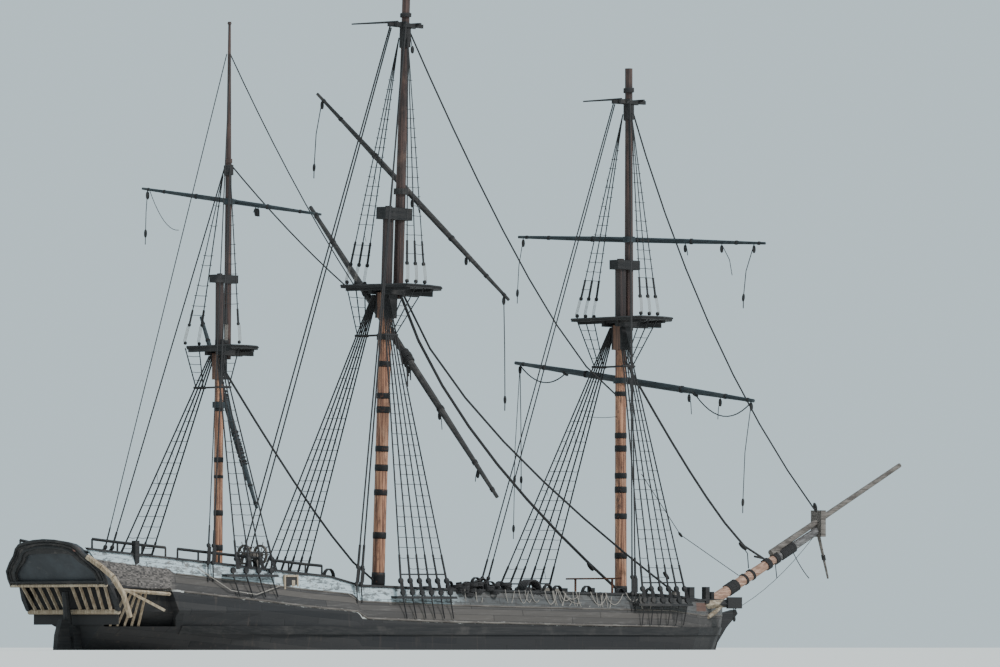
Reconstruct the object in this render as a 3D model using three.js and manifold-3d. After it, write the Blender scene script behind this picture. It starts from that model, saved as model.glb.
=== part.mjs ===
// A three-masted tall ship laid up without sails, modelled at half its full size.
// Lengths below are metres of the full-size ship, and M turns them into millimetres of the model.
// +X points to the bow, +Y to port and +Z up. The origin is on the centreline at the waterline,
// in line with the foot of the main mast.
import * as THREE from "three";
import { mergeVertices } from "three/addons/utils/BufferGeometryUtils.js";
import Module from "manifold-3d";

const wasm = await Module();
wasm.setup();

const M = 500; // millimetres of the model for each metre of the ship
const GAP = 0.0008; // space left between two pieces that touch
const ROUND = 12; // sides of a spar
const SMALL = 8; // sides of a thin bar
const ROPE_SIDES = 6;
const ROPE_STEPS = 8; // straight lengths that a hanging rope is made of

// Hull
const KEEL_DEPTH = 0.4;
const POST_WIDTH = 0.4; // fore and aft depth of the stem and sternpost
const BACKBONE_HALF = 0.16; // half the thickness of the keel, stem and sternpost
const BULWARK_THICK = 0.16;
const TRANSOM_RAKE = 0.438; // metres aft for each metre up
const TRANSOM_FOOT = -16.073; // where the stern panel's outer face would meet the waterline
const TRANSOM_THICK = 0.26;
const COUNTER_TOP = 2.55; // underside of the stern panel
const COUNTER_FLOOR = 0.95; // lowest point of the open counter
const WING_X = -16.4; // the cross-beam at the foot of the counter timbers
const WING_Z = 1.5;

const transomX = (z) => TRANSOM_FOOT - TRANSOM_RAKE * z;

// Heights of the waterlines that carry the offsets, and where each starts aft and ends forward.
const WATERLINES = [
  { z: -3.35, aft: -15.6, fore: 14.5 },
  { z: -3.1, aft: -15.63, fore: 15.3 },
  { z: -2.3, aft: -15.75, fore: 17.0 },
  { z: -1.1, aft: -15.92, fore: 18.2 },
  { z: 0, aft: -16.08, fore: 18.85 },
  { z: 0.9, aft: -16.2, fore: 19.1 },
  { z: 1.56, aft: transomX(1.56) + TRANSOM_THICK, fore: 19.2 },
  { z: 2.5, aft: transomX(2.5) + TRANSOM_THICK, fore: 19.25 },
  { z: 4.3, aft: transomX(4.3) + TRANSOM_THICK, fore: 19.3 },
];

// Half-breadths. The first column is the share of the length from the stern,
// the others are the waterlines above in the same order.
const OFFSETS = [
  [0.0, 0.15, 0.15, 0.15, 0.15, 0.17, 1.3, 2.8, 2.92, 2.0],
  [0.03, 0.15, 0.15, 0.2, 0.4, 0.85, 2.0, 3.05, 3.1, 2.3],
  [0.08, 0.15, 0.18, 0.5, 1.3, 2.2, 3.0, 3.45, 3.38, 2.8],
  [0.18, 0.15, 0.5, 1.4, 2.7, 3.5, 3.85, 3.95, 3.68, 3.1],
  [0.3, 0.15, 1.3, 2.7, 3.8, 4.2, 4.3, 4.25, 3.88, 3.4],
  [0.42, 0.15, 2.2, 3.5, 4.2, 4.4, 4.42, 4.35, 3.98, 3.7],
  [0.56, 0.15, 2.6, 3.85, 4.35, 4.45, 4.45, 4.38, 4.08, 3.9],
  [0.7, 0.15, 2.4, 3.7, 4.2, 4.38, 4.42, 4.35, 4.1, 3.9],
  [0.8, 0.15, 1.7, 3.1, 3.9, 4.15, 4.25, 4.2, 4.0, 3.8],
  [0.88, 0.15, 0.9, 2.2, 3.2, 3.65, 3.8, 3.82, 3.7, 3.6],
  [0.94, 0.15, 0.4, 1.3, 2.2, 2.7, 2.9, 2.95, 2.88, 2.8],
  [0.98, 0.15, 0.2, 0.6, 1.1, 1.5, 1.65, 1.7, 1.65, 1.6],
  [1.0, 0.15, 0.15, 0.15, 0.15, 0.17, 0.17, 0.17, 0.17, 0.17],
];

// Shares of the length at which the sides are drawn, with two close together at the deck's step.
const STATIONS = [0, 0.03, 0.08, 0.13, 0.18, 0.24, 0.3, 0.339, 0.341, 0.38, 0.42, 0.49, 0.56, 0.63, 0.7,
  0.75, 0.8, 0.84, 0.88, 0.91, 0.94, 0.96, 0.98, 1];

// Height of the deck and of the bulwark's top at a distance forward of the main mast.
const BREAK_X = -5.0; // the step from the waist up to the quarterdeck
const WAIST_Z = 1.45;
const DECK_LINE = [[-18.0, 3.25], [BREAK_X - 0.01, 2.5], [BREAK_X + 0.01, WAIST_Z], [19.4, WAIST_Z]];
const RAIL_LINE = [[-18.0, 4.06], [-15.45, 3.75], [-14.2, 3.63], [-10.3, 3.28], [-7.4, 3.0], [-5.05, 2.83],
  [-4.9, 2.56], [-0.2, 2.42], [7.7, 2.3], [13, 2.25], [15, 2.05], [19.4, 2.05]];

// Masts. Heights are above the waterline, measured along the mast.
const MAST_PIVOT_Z = 2.5; // height at which the mast stands over its x
const MASTS = [
  {
    name: "fore", x: 14.06, lean: 0, deck: WAIST_Z, foot_r: 0.265, hounds_r: 0.235, head: 0.165,
    top_z: 13.97, top_aft: 0.87, top_long: 3.05, top_wide: 4.2, cap_z: 16.1, cap_thick: 0.4, top_gap: 0.5,
    topmast_r: 0.185, topmast_head_r: 0.16, tree_z: 23.23, tree_half: 0.55, outrigger: 2.32, end_z: 24.67,
  },
  {
    name: "main", x: 0, lean: 1.12, deck: WAIST_Z, foot_r: 0.27, hounds_r: 0.265, head: 0.16, top_z: 14.88,
    top_aft: 0.73, top_long: 3.08, top_wide: 3.96, cap_z: 17.66, cap_thick: 0.5, top_gap: 0.65,
    topmast_r: 0.215, topmast_head_r: 0.165, tree_z: 25.7, tree_half: 0.52, outrigger: 2.8, end_z: 27.1,
  },
  {
    name: "mizzen", x: -8.8, lean: 0.2, deck: 2.72, foot_r: 0.19, hounds_r: 0.18, head: 0.12, top_z: 12.13,
    top_aft: 0.57, top_long: 2.21, top_wide: 2.65, cap_z: 14.75, cap_thick: 0.32, top_gap: 0.44,
    topmast_r: 0.145, topmast_head_r: 0.125, tree_z: 19.6, tree_half: 0.3, outrigger: 0, end_z: 25.3,
  },
];

// Yards. z is the height at the mast, out is how far the middle has slipped to starboard,
// droop is how far the starboard arm hangs and brace how far it points forward, in degrees.
const YARDS = [
  {
    name: "main_yard", mast: "main", on: "lower", z: 12.83, out: 0.73, length: 18.4, r: 0.16,
    droop: 41.2, brace: -8,
  },
  {
    name: "main_topsail_yard", mast: "main", on: "topmast", z: 18.85, out: 0.23, length: 12.75, r: 0.13,
    droop: 42.2, brace: 16,
  },
  {
    name: "fore_yard", mast: "fore", on: "lower", z: 11.39, out: 0.22, length: 14.4, r: 0.15,
    droop: 7.9, brace: 0,
  },
  {
    name: "fore_topsail_yard", mast: "fore", on: "topmast", z: 17.39, out: 0.24, length: 12.1, r: 0.12,
    droop: 2.9, brace: 15,
  },
  {
    name: "crossjack_yard", mast: "mizzen", on: "lower", z: 9.84, out: 0.32, length: 9.3, r: 0.13,
    droop: 57.1, brace: -15,
  },
  {
    name: "mizzen_topsail_yard", mast: "mizzen", on: "topmast", z: 18.04, out: -0.18, length: 8.6, r: 0.1,
    droop: 8.5, brace: 16,
  },
];

// Channels and their deadeyes: the board's place along the side, its height and the deadeyes on it.
const CHANNELS = [
  { name: "fore", from: 10.9, to: 13.7, z: 1.88, out: 0.36, deadeyes: 6 },
  { name: "main", from: -2.8, to: -0.2, z: 2.12, out: 0.34, deadeyes: 6 },
  { name: "mizzen", from: -11.1, to: -9.2, z: 2.95, out: 0.3, deadeyes: 4 },
];

const COLOURS = {
  tan: 0xb98559, black: 0x1d1c1d, redbrown: 0x4a3430, planks: 0x55504b, dark: 0x2b2d30, band: 0xb9c4c6,
  greenblue: 0x2c3a3d, greybrown: 0x6b6057, pale: 0xb5a07f, rope: 0x26242a, deck: 0x6d6558, panel: 0x2f3a44,
};

const ship = new THREE.Group();
const radians = THREE.MathUtils.degToRad;

// Solids

// A three.js geometry as a solid, after a move by a matrix.
function solidOf(geometry, matrix = new THREE.Matrix4()) {
  const bare = geometry.clone();
  bare.deleteAttribute("normal");
  bare.deleteAttribute("uv");
  const merged = mergeVertices(bare, 1e-3);
  merged.applyMatrix4(matrix);
  const mesh = new wasm.Mesh({
    numProp: 3,
    vertProperties: merged.attributes.position.array,
    triVerts: new Uint32Array(merged.index.array),
  });
  return new wasm.Manifold(mesh);
}

function geometryOf(solid) {
  const mesh = solid.getMesh();
  const geometry = new THREE.BufferGeometry();
  geometry.setAttribute("position", new THREE.BufferAttribute(mesh.vertProperties, 3));
  geometry.setIndex(new THREE.BufferAttribute(mesh.triVerts, 1));
  const flat = geometry.toNonIndexed();
  flat.computeVertexNormals();
  return flat;
}

function fuse(solids) {
  return solids.reduce((whole, piece) => whole.add(piece));
}

const vector = (p) => new THREE.Vector3(p[0], p[1], p[2]).multiplyScalar(M);

// A straight round bar from a to b, with its radius at each end and a turn of its corners about its axis.
function bar(a, b, ra, rb = ra, sides = SMALL, turn = 0) {
  const from = vector(a);
  const to = vector(b);
  const along = to.clone().sub(from);
  const geometry = new THREE.CylinderGeometry(rb * M, ra * M, along.length(), sides, 1, false, turn);
  const up = new THREE.Vector3(0, 1, 0);
  const lie = new THREE.Quaternion().setFromUnitVectors(up, along.clone().normalize());
  const middle = from.add(to).multiplyScalar(0.5);
  return solidOf(geometry, new THREE.Matrix4().compose(middle, lie, new THREE.Vector3(1, 1, 1)));
}

// The hole that lets a round bar turn in it: its flats pass the bar's corners by a hair.
function bore(a, b, r, sides = SMALL) {
  const half = Math.PI / sides;
  const across = (r + GAP) / Math.cos(half);
  return bar(a, b, across, across, sides, half);
}

// A rope from a to b that bends under its weight towards a point below the straight line,
// at a share of the way along and dropped by a height.
function hangingRope(a, b, share, drop, r) {
  const from = vector(a);
  const to = vector(b);
  const low = from.clone().lerp(to, share);
  low.z -= drop * M;
  const path = new THREE.QuadraticBezierCurve3(from, low, to);
  const corners = [];
  for (let i = 0; i < ROPE_SIDES; i++) {
    const angle = (i * 2 * Math.PI) / ROPE_SIDES;
    corners.push(new THREE.Vector2(Math.cos(angle) * r * M, Math.sin(angle) * r * M));
  }
  const section = new THREE.Shape(corners);
  const along = { extrudePath: path, steps: ROPE_STEPS, bevelEnabled: false };
  return solidOf(new THREE.ExtrudeGeometry(section, along));
}

// What is left of a piece when another is let into it, with a hair of room on every side.
function fitted(piece, other) {
  const hair = GAP * M;
  const shifts = [[hair, 0, 0], [-hair, 0, 0], [0, hair, 0], [0, -hair, 0], [0, 0, hair], [0, 0, -hair]];
  return shifts.reduce((left, shift) => left.subtract(other.translate(shift)), piece);
}

function largest(solid) {
  return solid.decompose().reduce((best, piece) => (piece.volume() > best.volume() ? piece : best));
}

// A box of a size about a centre, turned by angles in degrees.
function block(size, centre, turn = [0, 0, 0]) {
  const geometry = new THREE.BoxGeometry(size[0] * M, size[1] * M, size[2] * M);
  const spin = new THREE.Quaternion().setFromEuler(new THREE.Euler(...turn.map(radians)));
  return solidOf(geometry, new THREE.Matrix4().compose(vector(centre), spin, new THREE.Vector3(1, 1, 1)));
}

// A flat plate from an outline of [x, z] points, thick along Y about y = middle.
function plateXZ(points, thick, middle = 0) {
  const shape = new THREE.Shape(points.map(([x, z]) => new THREE.Vector2(x * M, z * M)));
  const geometry = new THREE.ExtrudeGeometry(shape, { depth: thick * M, bevelEnabled: false });
  const matrix = new THREE.Matrix4().makeRotationX(Math.PI / 2);
  matrix.setPosition(0, (middle + thick / 2) * M, 0);
  return solidOf(geometry, matrix);
}

// A flat plate from an outline of [x, y] points, thick along Z from z = bottom.
function plateXY(points, thick, bottom) {
  const shape = new THREE.Shape(points.map(([x, y]) => new THREE.Vector2(x * M, y * M)));
  const geometry = new THREE.ExtrudeGeometry(shape, { depth: thick * M, bevelEnabled: false });
  return solidOf(geometry, new THREE.Matrix4().setPosition(0, 0, bottom * M));
}

// A turned body about the Z axis from [radius, z] pairs that start and end on the axis.
function turned(profile, sides = ROUND) {
  const points = profile.map(([r, z]) => new THREE.Vector2(r * M, z * M));
  const geometry = new THREE.LatheGeometry(points, sides);
  return solidOf(geometry, new THREE.Matrix4().makeRotationX(Math.PI / 2));
}

// A closed skin over sections with the same even number of points, the second half mirroring the first.
function skin(sections) {
  const count = sections[0].length;
  const positions = sections.flat().flatMap(([x, y, z]) => [x * M, y * M, z * M]);
  const faces = [];
  for (let s = 0; s + 1 < sections.length; s++) {
    for (let i = 0; i < count; i++) {
      const a = s * count + i;
      const b = s * count + ((i + 1) % count);
      faces.push(a, b, a + count, b, b + count, a + count);
    }
  }
  const last = (sections.length - 1) * count;
  for (let i = 0; i + 1 < count / 2; i++) {
    const across = count - 1 - i;
    faces.push(i, across, i + 1, i + 1, across, across - 1);
    faces.push(last + i, last + i + 1, last + across, last + i + 1, last + across - 1, last + across);
  }
  const geometry = new THREE.BufferGeometry();
  geometry.setAttribute("position", new THREE.Float32BufferAttribute(positions, 3));
  geometry.setIndex(faces);
  const solid = solidOf(geometry);
  if (solid.volume() > 0) return solid;
  const flipped = [];
  for (let i = 0; i < faces.length; i += 3) flipped.push(faces[i], faces[i + 2], faces[i + 1]);
  geometry.setIndex(flipped);
  return solidOf(geometry);
}

function place(name, solid, colour, parent = ship) {
  const material = new THREE.MeshStandardMaterial({ color: colour, roughness: 0.85, metalness: 0 });
  const mesh = new THREE.Mesh(geometryOf(solid), material);
  mesh.name = name;
  parent.add(mesh);
  return mesh;
}

// A placed piece as a solid in the ship's frame.
function worldSolid(name) {
  const mesh = ship.getObjectByName(name);
  mesh.updateWorldMatrix(true, false);
  return solidOf(mesh.geometry, mesh.matrixWorld);
}

// Hull form

function between(table, x, column = 1) {
  if (x <= table[0][0]) return table[0][column];
  for (let i = 1; i < table.length; i++) {
    if (x <= table[i][0]) {
      const share = (x - table[i - 1][0]) / (table[i][0] - table[i - 1][0]);
      return table[i - 1][column] + share * (table[i][column] - table[i - 1][column]);
    }
  }
  return table[table.length - 1][column];
}

const sternX = (z) => between(WATERLINES.map((w) => [w.z, w.aft]), z);
const bowX = (z) => between(WATERLINES.map((w) => [w.z, w.fore]), z);
const deckZ = (x) => between(DECK_LINE, x);
const railZ = (x) => between(RAIL_LINE, x);

// Point of the hull's side at a share of the length and a height, pushed out by a distance.
function sidePoint(share, z, out = 0) {
  const at = (s) => {
    const breadths = WATERLINES.map((w, i) => [w.z, between(OFFSETS, s, i + 1)]);
    return [sternX(z) + (bowX(z) - sternX(z)) * s, between(breadths, z)];
  };
  const [x, y] = at(share);
  if (!out) return [x, y];
  const step = 0.01;
  const a = at(Math.max(0, share - step));
  const b = at(Math.min(1, share + step));
  const length = Math.hypot(b[0] - a[0], b[1] - a[1]);
  return [x - (out * (b[1] - a[1])) / length, y + (out * (b[0] - a[0])) / length];
}

// Share of the length at a distance forward of the main mast, at rail height.
const shareAt = (x) => (x - sternX(2.4)) / (bowX(2.4) - sternX(2.4));
const stationX = (share) => sternX(2.4) + (bowX(2.4) - sternX(2.4)) * share;

// Stations between two places, with the ends included.
function stationsFrom(x0, x1) {
  const ends = [shareAt(x0), shareAt(x1)];
  const inner = STATIONS.filter((s) => s > ends[0] + 0.004 && s < ends[1] - 0.004);
  return [ends[0], ...inner, ends[1]];
}

// A strip that follows one side of the hull between two heights and two distances from the skin.
function strip(side, shares, low, high, inner, outer) {
  const sections = shares.map((s) => {
    const x = stationX(s);
    const zl = low(x);
    const zh = high(x);
    const corners = [[zl, inner], [zl, outer], [zh, outer], [zh, inner]];
    return corners.map(([z, out]) => {
      const [px, py] = sidePoint(s, z, out);
      return [px, side * Math.max(py, 0.02), z];
    });
  });
  return skin(sections);
}

// Bowsprit line
const SPRIT_SLOPE = 0.47;
const SPRIT_HEEL_X = 17.75;
const SPRIT_END_X = 26.4;
const SPRIT_R = 0.27;
const SPRIT_END_R = 0.165;
const JIB_HEEL_X = 23.2;
const JIB_END_X = 31.4;
const JIB_R = 0.14;
const JIB_END_R = 0.1;
const JIB_RISE = 0.4; // jibboom's axis over the bowsprit's
const spritZ = (x) => 5.252 + (x - 26.29) * SPRIT_SLOPE;
const jibZ = (x) => spritZ(x) + JIB_RISE + 0.01 * (x - 26);

// The bowsprit and the jibboom, made a little fatter to cut the room that they need.
function spritPole(room = 0) {
  const [heel, end] = [SPRIT_HEEL_X - room, SPRIT_END_X + room];
  return bar([heel, 0, spritZ(heel)], [end, 0, spritZ(end)], SPRIT_R + room, SPRIT_END_R + room, ROUND);
}

function jibPole(room = 0) {
  const heel = [JIB_HEEL_X, 0, jibZ(JIB_HEEL_X)];
  const end = [JIB_END_X, 0, jibZ(JIB_END_X)];
  return bar(heel, end, JIB_R + room, JIB_END_R + room);
}

function hullBody() {
  const heights = WATERLINES.filter((w) => w.z < 1.4).map((w) => w.z);
  const sections = STATIONS.map((s) => {
    const top = deckZ(stationX(s));
    const upper = top > 2 ? [1.45, 1.56, 2.0, top] : [1.2, 1.3, 1.4, top];
    const port = [...heights, ...upper].map((z) => {
      const [x, y] = sidePoint(s, z);
      return [x, y, z];
    });
    const starboard = port.map(([x, y, z]) => [x, -y, z]).reverse();
    return [...port, ...starboard];
  });
  const form = skin(sections);
  const counterMiddle = (COUNTER_TOP + COUNTER_FLOOR) / 2;
  const counter = block([3.2, 5.2, COUNTER_TOP - COUNTER_FLOOR], [-17.85, 0, counterMiddle]);
  const missing = [[0.93, 2.42], [-0.5, 0.5]];
  const shares = stationsFrom(-16.75, -14.2);
  const lower = strip(-1, shares, () => missing[0][0], () => 1.56, ...missing[1]);
  const upper = strip(-1, shares, () => 1.5, () => missing[0][1], ...missing[1]);
  const quarter = fuse([lower, upper]);
  return form.subtract(counter).subtract(quarter).subtract(spritPole(2 * GAP));
}

function backbone() {
  const rows = WATERLINES.filter((w) => w.z < 1.2);
  const inner = [...rows.map((w) => [w.aft - GAP, w.z]).reverse()];
  inner.push([-15.6 - GAP, -3.35 - GAP], [14.5 + GAP, -3.35 - GAP]);
  inner.push(...rows.slice(1).map((w) => [w.fore + GAP, w.z]), [19.2 + GAP, 1.5]);
  const outer = [[19.75, 1.5], [20.9, 1.72], [21.0, 1.55], [20.3, 0.95], [19.75, 0.3],
    [19.3, -0.9], [18.1, -2.3]];
  outer.push([16.2, -3.3], [14.6, -3.35 - KEEL_DEPTH], [-16.05, -3.35 - KEEL_DEPTH]);
  outer.push([-16.2 - POST_WIDTH, 0.9]);
  return plateXZ([...inner, ...outer], 2 * BACKBONE_HALF);
}

// The rudder's hinge line lies along the back of the sternpost. Each pintle stands in its gudgeon there.
const RUDDER_FOOT = [-16.155, -3.6];
const RUDDER_SLOPE = (-16.6 + 16.05) / (0.9 + 3.75); // aft for each metre up
const rudderX = (z) => RUDDER_FOOT[0] + RUDDER_SLOPE * (z - RUDDER_FOOT[1]);
const onHinge = (z) => [rudderX(z), 0, z];
const PINTLES = [-3.2, -2.0, -0.8, 0.45]; // heights at which the pintles rest on their gudgeons
const PINTLE_R = 0.032;
const EYE_R = 0.07;
const EYE_HIGH = 0.11;

function gudgeons() {
  const eyes = PINTLES.map((z) => {
    const eye = bar(onHinge(z - EYE_HIGH), onHinge(z), EYE_R);
    const arm = block([0.2, 0.1, EYE_HIGH * 0.9], [rudderX(z) + 0.12, 0, z - EYE_HIGH * 0.5]);
    return eye.add(arm).subtract(bore(onHinge(z - EYE_HIGH * 2), onHinge(z + EYE_HIGH), PINTLE_R));
  });
  return fuse(eyes);
}

function rudder() {
  const gap = 0.085;
  const points = [[rudderX(-3.6) - gap, -3.6], [rudderX(1.2) - gap, 1.2]];
  points.push([rudderX(1.2) - 0.4, 1.2], [rudderX(0.6) - 0.66, 0.6], [rudderX(-0.5) - 0.9, -0.5]);
  points.push([rudderX(-3.6) - 1.25, -3.6]);
  const pieces = [plateXZ(points.reverse(), 0.26), bar(onHinge(1.0), onHinge(2.3), 0.16, 0.14)];
  for (const z of PINTLES) {
    pieces.push(bar(onHinge(z + GAP), onHinge(z + EYE_HIGH), EYE_R));
    pieces.push(bar(onHinge(z - EYE_HIGH), onHinge(z + EYE_HIGH), PINTLE_R));
    pieces.push(block([0.16, 0.1, EYE_HIGH * 0.8], [rudderX(z) - 0.08, 0, z + EYE_HIGH * 0.55]));
  }
  return fuse(pieces);
}

// Starboard half of the stern panel's outline as [y, z], from the foot up to the crown of the arch.
const STERN_HALF = [[2.9, COUNTER_TOP], [2.93, 2.8], [2.87, 3.12], [2.5, 3.45], [2.12, 3.72],
  [1.86, 4.0], [1.6, 4.15], [1.2, 4.23], [0.65, 4.3], [0, 4.33]];
const STERN_OUTLINE = [...STERN_HALF.map(([y, z]) => [-y, z]), ...STERN_HALF.slice(0, -1).reverse()];
const STERN_RIM = 0.55;
const STERN_RECESS = 0.12;

// A plate in the raked plane of the stern, from an outline of [y, z].
function sternPlate(outline, thick, forward) {
  const shape = new THREE.Shape(outline.map(([y, z]) => new THREE.Vector2(y * M, z * M)));
  const geometry = new THREE.ExtrudeGeometry(shape, { depth: thick * M, bevelEnabled: false });
  const m = new THREE.Matrix4();
  m.set(0, -TRANSOM_RAKE, 1, (TRANSOM_FOOT + forward) * M, 1, 0, 0, 0, 0, 1, 0, 0, 0, 0, 0, 1);
  return solidOf(geometry, m);
}

function transom() {
  const plate = sternPlate(STERN_OUTLINE, TRANSOM_THICK - GAP, 0);
  const inside = STERN_OUTLINE.map(([y, z]) => {
    const share = 1 - STERN_RIM / Math.hypot(y, z - COUNTER_TOP);
    return [y * share, COUNTER_TOP + Math.max((z - COUNTER_TOP) * share, 0.16)];
  });
  return plate.subtract(sternPlate(inside, STERN_RECESS + 0.2, -0.2));
}

function counterTimbers() {
  const head = [transomX(COUNTER_TOP) + 0.2, COUNTER_TOP + 0.05];
  const pieces = [bar([WING_X, -2.7, WING_Z], [WING_X, 2.7, WING_Z], 0.1)];
  for (let i = -5; i <= 5; i++) {
    if (i === 0) continue; // the rudder's head comes up here
    pieces.push(bar([WING_X, i * 0.45, WING_Z], [head[0], i * 0.5, head[1]], 0.07, 0.07, 4));
  }
  const above = block([6, 8, 1], [head[0], 0, COUNTER_TOP - GAP + 0.5]);
  return fuse(pieces).subtract(above);
}

// Bare ribs of the starboard quarter, with the stringer, a fallen plank
// and the curved timber of the stern's edge.
const RIB_X = [-16.5, -16.25, -16.0, -15.75, -15.5];
const EDGE_TIMBER = [[-16.33, -3.28, 1.3], [-16.75, -3.36, 2.19], [-17.25, -3.3, 2.86],
  [-17.52, -2.95, 3.24], [-17.68, -2.3, 3.64]];

function quarterRibs() {
  const at = (x, z) => {
    const [px, py] = sidePoint(shareAt(x), z, -0.12);
    return [px, -py, z];
  };
  const [head, tail] = [[-16.85, -3.34, 2.34], at(-14.3, 2.2)];
  const onStringer = (x) => {
    const share = (x - head[0]) / (tail[0] - head[0]);
    return head.map((value, i) => lerp(value, tail[i], share));
  };
  const pieces = [bar(head, tail, 0.07, 0.07, 4), bar(onStringer(-16.5), at(-14.8, 1.57), 0.07, 0.07, 4)];
  for (const x of RIB_X) pieces.push(bar(onStringer(x), at(x, 0.85), 0.06, 0.06, 4));
  for (let i = 1; i < EDGE_TIMBER.length; i++) {
    pieces.push(bar(EDGE_TIMBER[i - 1], EDGE_TIMBER[i], 0.12, 0.12, 6));
  }
  return fuse(pieces);
}

// Cap rail along the top of a bulwark, with the open fence that stands on it aft.
const FENCE = [
  { from: -16.7, to: -13.75, rise: 0.44, posts: 4 },
  { from: -13.2, to: -9.4, rise: 0.44, posts: 5 },
  { from: -8.8, to: -6.35, rise: 0.44, posts: 4 },
];

// Square posts that stand on the cap rail: place, half width, height over the rail and depth below it.
const RAIL_POSTS = [
  { x: -15.02, half: 0.11, rise: 0.58, below: 0.42 },
  { x: 14.35, half: 0.15, rise: 0.52, below: 0.1 },
  { x: 15.7, half: 0.12, rise: 0.6, below: 0.1 },
  { x: 16.25, half: 0.09, rise: 0.4, below: 0.1 },
];

function capRail(side, wall) {
  const rail = (x) => railZ(x) + GAP;
  const at = (x, out) => {
    const [px, py] = sidePoint(shareAt(x), railZ(x), out);
    return [px, side * py];
  };
  const pieces = [strip(side, STATIONS, rail, (x) => rail(x) + 0.09, -0.2, 0.06)];
  for (const part of FENCE) {
    let previous = null;
    for (let i = 0; i < part.posts; i++) {
      const x = part.from + (i / (part.posts - 1)) * (part.to - part.from);
      const foot = [...at(x, -0.08), railZ(x) + 0.05];
      const head = [...at(x, -0.08), railZ(x) + part.rise];
      pieces.push(bar(foot, head, 0.055, 0.05, 4));
      if (previous) pieces.push(bar(previous, head, 0.06, 0.06, 4));
      previous = head;
    }
  }
  const posts = RAIL_POSTS.map((post) => {
    const size = [2 * post.half, 2 * post.half, post.rise + post.below];
    return block(size, [...at(post.x, -0.02), railZ(post.x) + (post.rise - post.below) / 2]);
  });
  return fuse([...pieces, fitted(fuse(posts), wall)]);
}

function channel(side, row) {
  const shares = stationsFrom(row.from - 0.35, row.to + 0.35);
  // the plank is let into the side
  const pieces = [strip(side, shares, () => row.z - 0.05, () => row.z + 0.05, -0.04, row.out)];
  for (let i = 0; i < row.deadeyes; i++) {
    const x = row.from + (i * (row.to - row.from)) / (row.deadeyes - 1);
    const s = shareAt(x);
    const [px, py] = sidePoint(s, row.z, row.out - 0.04);
    const eye = [px, side * py, row.z + 0.2];
    pieces.push(bar([px, side * (py - 0.05), eye[2]], [px, side * (py + 0.05), eye[2]], 0.12, 0.12, SMALL));
    pieces.push(bar([px, side * py, row.z - 0.02], eye, 0.04, 0.04, 4));
    const [hx, hy] = sidePoint(s, row.z - 0.85, 0.08);
    pieces.push(bar([px, side * py, row.z], [hx, side * hy, row.z - 0.85], 0.03, 0.03, 4));
  }
  return fuse(pieces);
}

// A solid swollen by a hair about the centreline, so that what is cut by it doesn't touch it.
const swollen = (solid) => solid.scale([1.00005, 1.00025, 1.00005]);

// A beam that leans out over the bow, with a heavy head.
const CATHEAD = {
  root: [15.0, 2.9, 1.83], tip: [16.75, 4.07, 1.98], half: 0.17, head: [0.6, 0.4, 0.48],
  knee: [[15.6, 3.05, 1.25], [15.85, 3.45, 1.4], [16.1, 3.64, 1.62], [16.35, 3.8, 1.95]],
};

function cathead(side, room = 0) {
  const [root, tip] = [CATHEAD.root, CATHEAD.tip].map(([x, y, z]) => [x, side * y, z]);
  const beam = bar(root, tip, CATHEAD.half + room, CATHEAD.half + room, 4);
  const turn = THREE.MathUtils.radToDeg(Math.atan2(tip[1] - root[1], tip[0] - root[0]));
  return beam.add(block(CATHEAD.head, tip, [0, 0, turn]));
}

// The curved knee that holds the beam up from the hull's side.
function catheadKnee(side) {
  const points = CATHEAD.knee.map(([x, y, z]) => [x, side * y, z]);
  return fuse(points.slice(1).map((point, i) => bar(points[i], point, 0.09, 0.09, 6)));
}

function hull() {
  const body = hullBody();
  const post = backbone();
  place("hull", body, COLOURS.planks);
  place("keel_stem_and_sternpost", post.add(gudgeons()), COLOURS.dark);
  place("rudder", rudder(), COLOURS.dark);
  const panel = transom();
  place("transom_panel", panel, COLOURS.panel);
  place("counter_timbers", fitted(counterTimbers(), body), COLOURS.pale);
  const way = spritPole(2 * GAP);
  for (const [label, side] of [["starboard", -1], ["port", 1]]) {
    const opening = way.add(cathead(side, 2 * GAP));
    const wall = strip(side, STATIONS, (x) => deckZ(x) + GAP, railZ, -BULWARK_THICK, 0).subtract(opening);
    const inTheWay = swollen(body.add(wall));
    place("bulwark_" + label, wall, COLOURS.band);
    place("cap_rail_" + label, largest(capRail(side, wall).subtract(opening.add(inTheWay))), COLOURS.dark);
    const wale = strip(side, STATIONS.slice(2, -1), () => 0.62, () => 0.95, -0.1, 0.07);
    place("wale_" + label, wale.subtract(inTheWay), COLOURS.black);
    for (const row of CHANNELS) {
      const seated = largest(fitted(channel(side, row), body.add(wall)));
      place(row.name + "_channel_" + label, seated, COLOURS.black);
    }
    const knee = largest(fitted(catheadKnee(side), body.add(wall)));
    place("cathead_" + label, cathead(side).add(knee), COLOURS.pale);
    if (side < 0) {
      const ribs = fitted(fitted(quarterRibs(), body), panel.add(wall));
      place("quarter_ribs", largest(ribs), COLOURS.pale);
    }
  }
  return body;
}

// Masts

function mastGroup(mast) {
  const outer = new THREE.Group();
  outer.position.copy(vector([mast.x, 0, MAST_PIVOT_Z]));
  outer.rotation.set(radians(mast.lean), radians(mast.lean), 0);
  const inner = new THREE.Group();
  inner.position.set(0, 0, -MAST_PIVOT_Z * M);
  outer.add(inner);
  ship.add(outer);
  return inner;
}

const houndsZ = (mast) => mast.top_z - 1.1;
const capTop = (mast) => mast.cap_z + mast.cap_thick;
const lerp = THREE.MathUtils.lerp;

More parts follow.
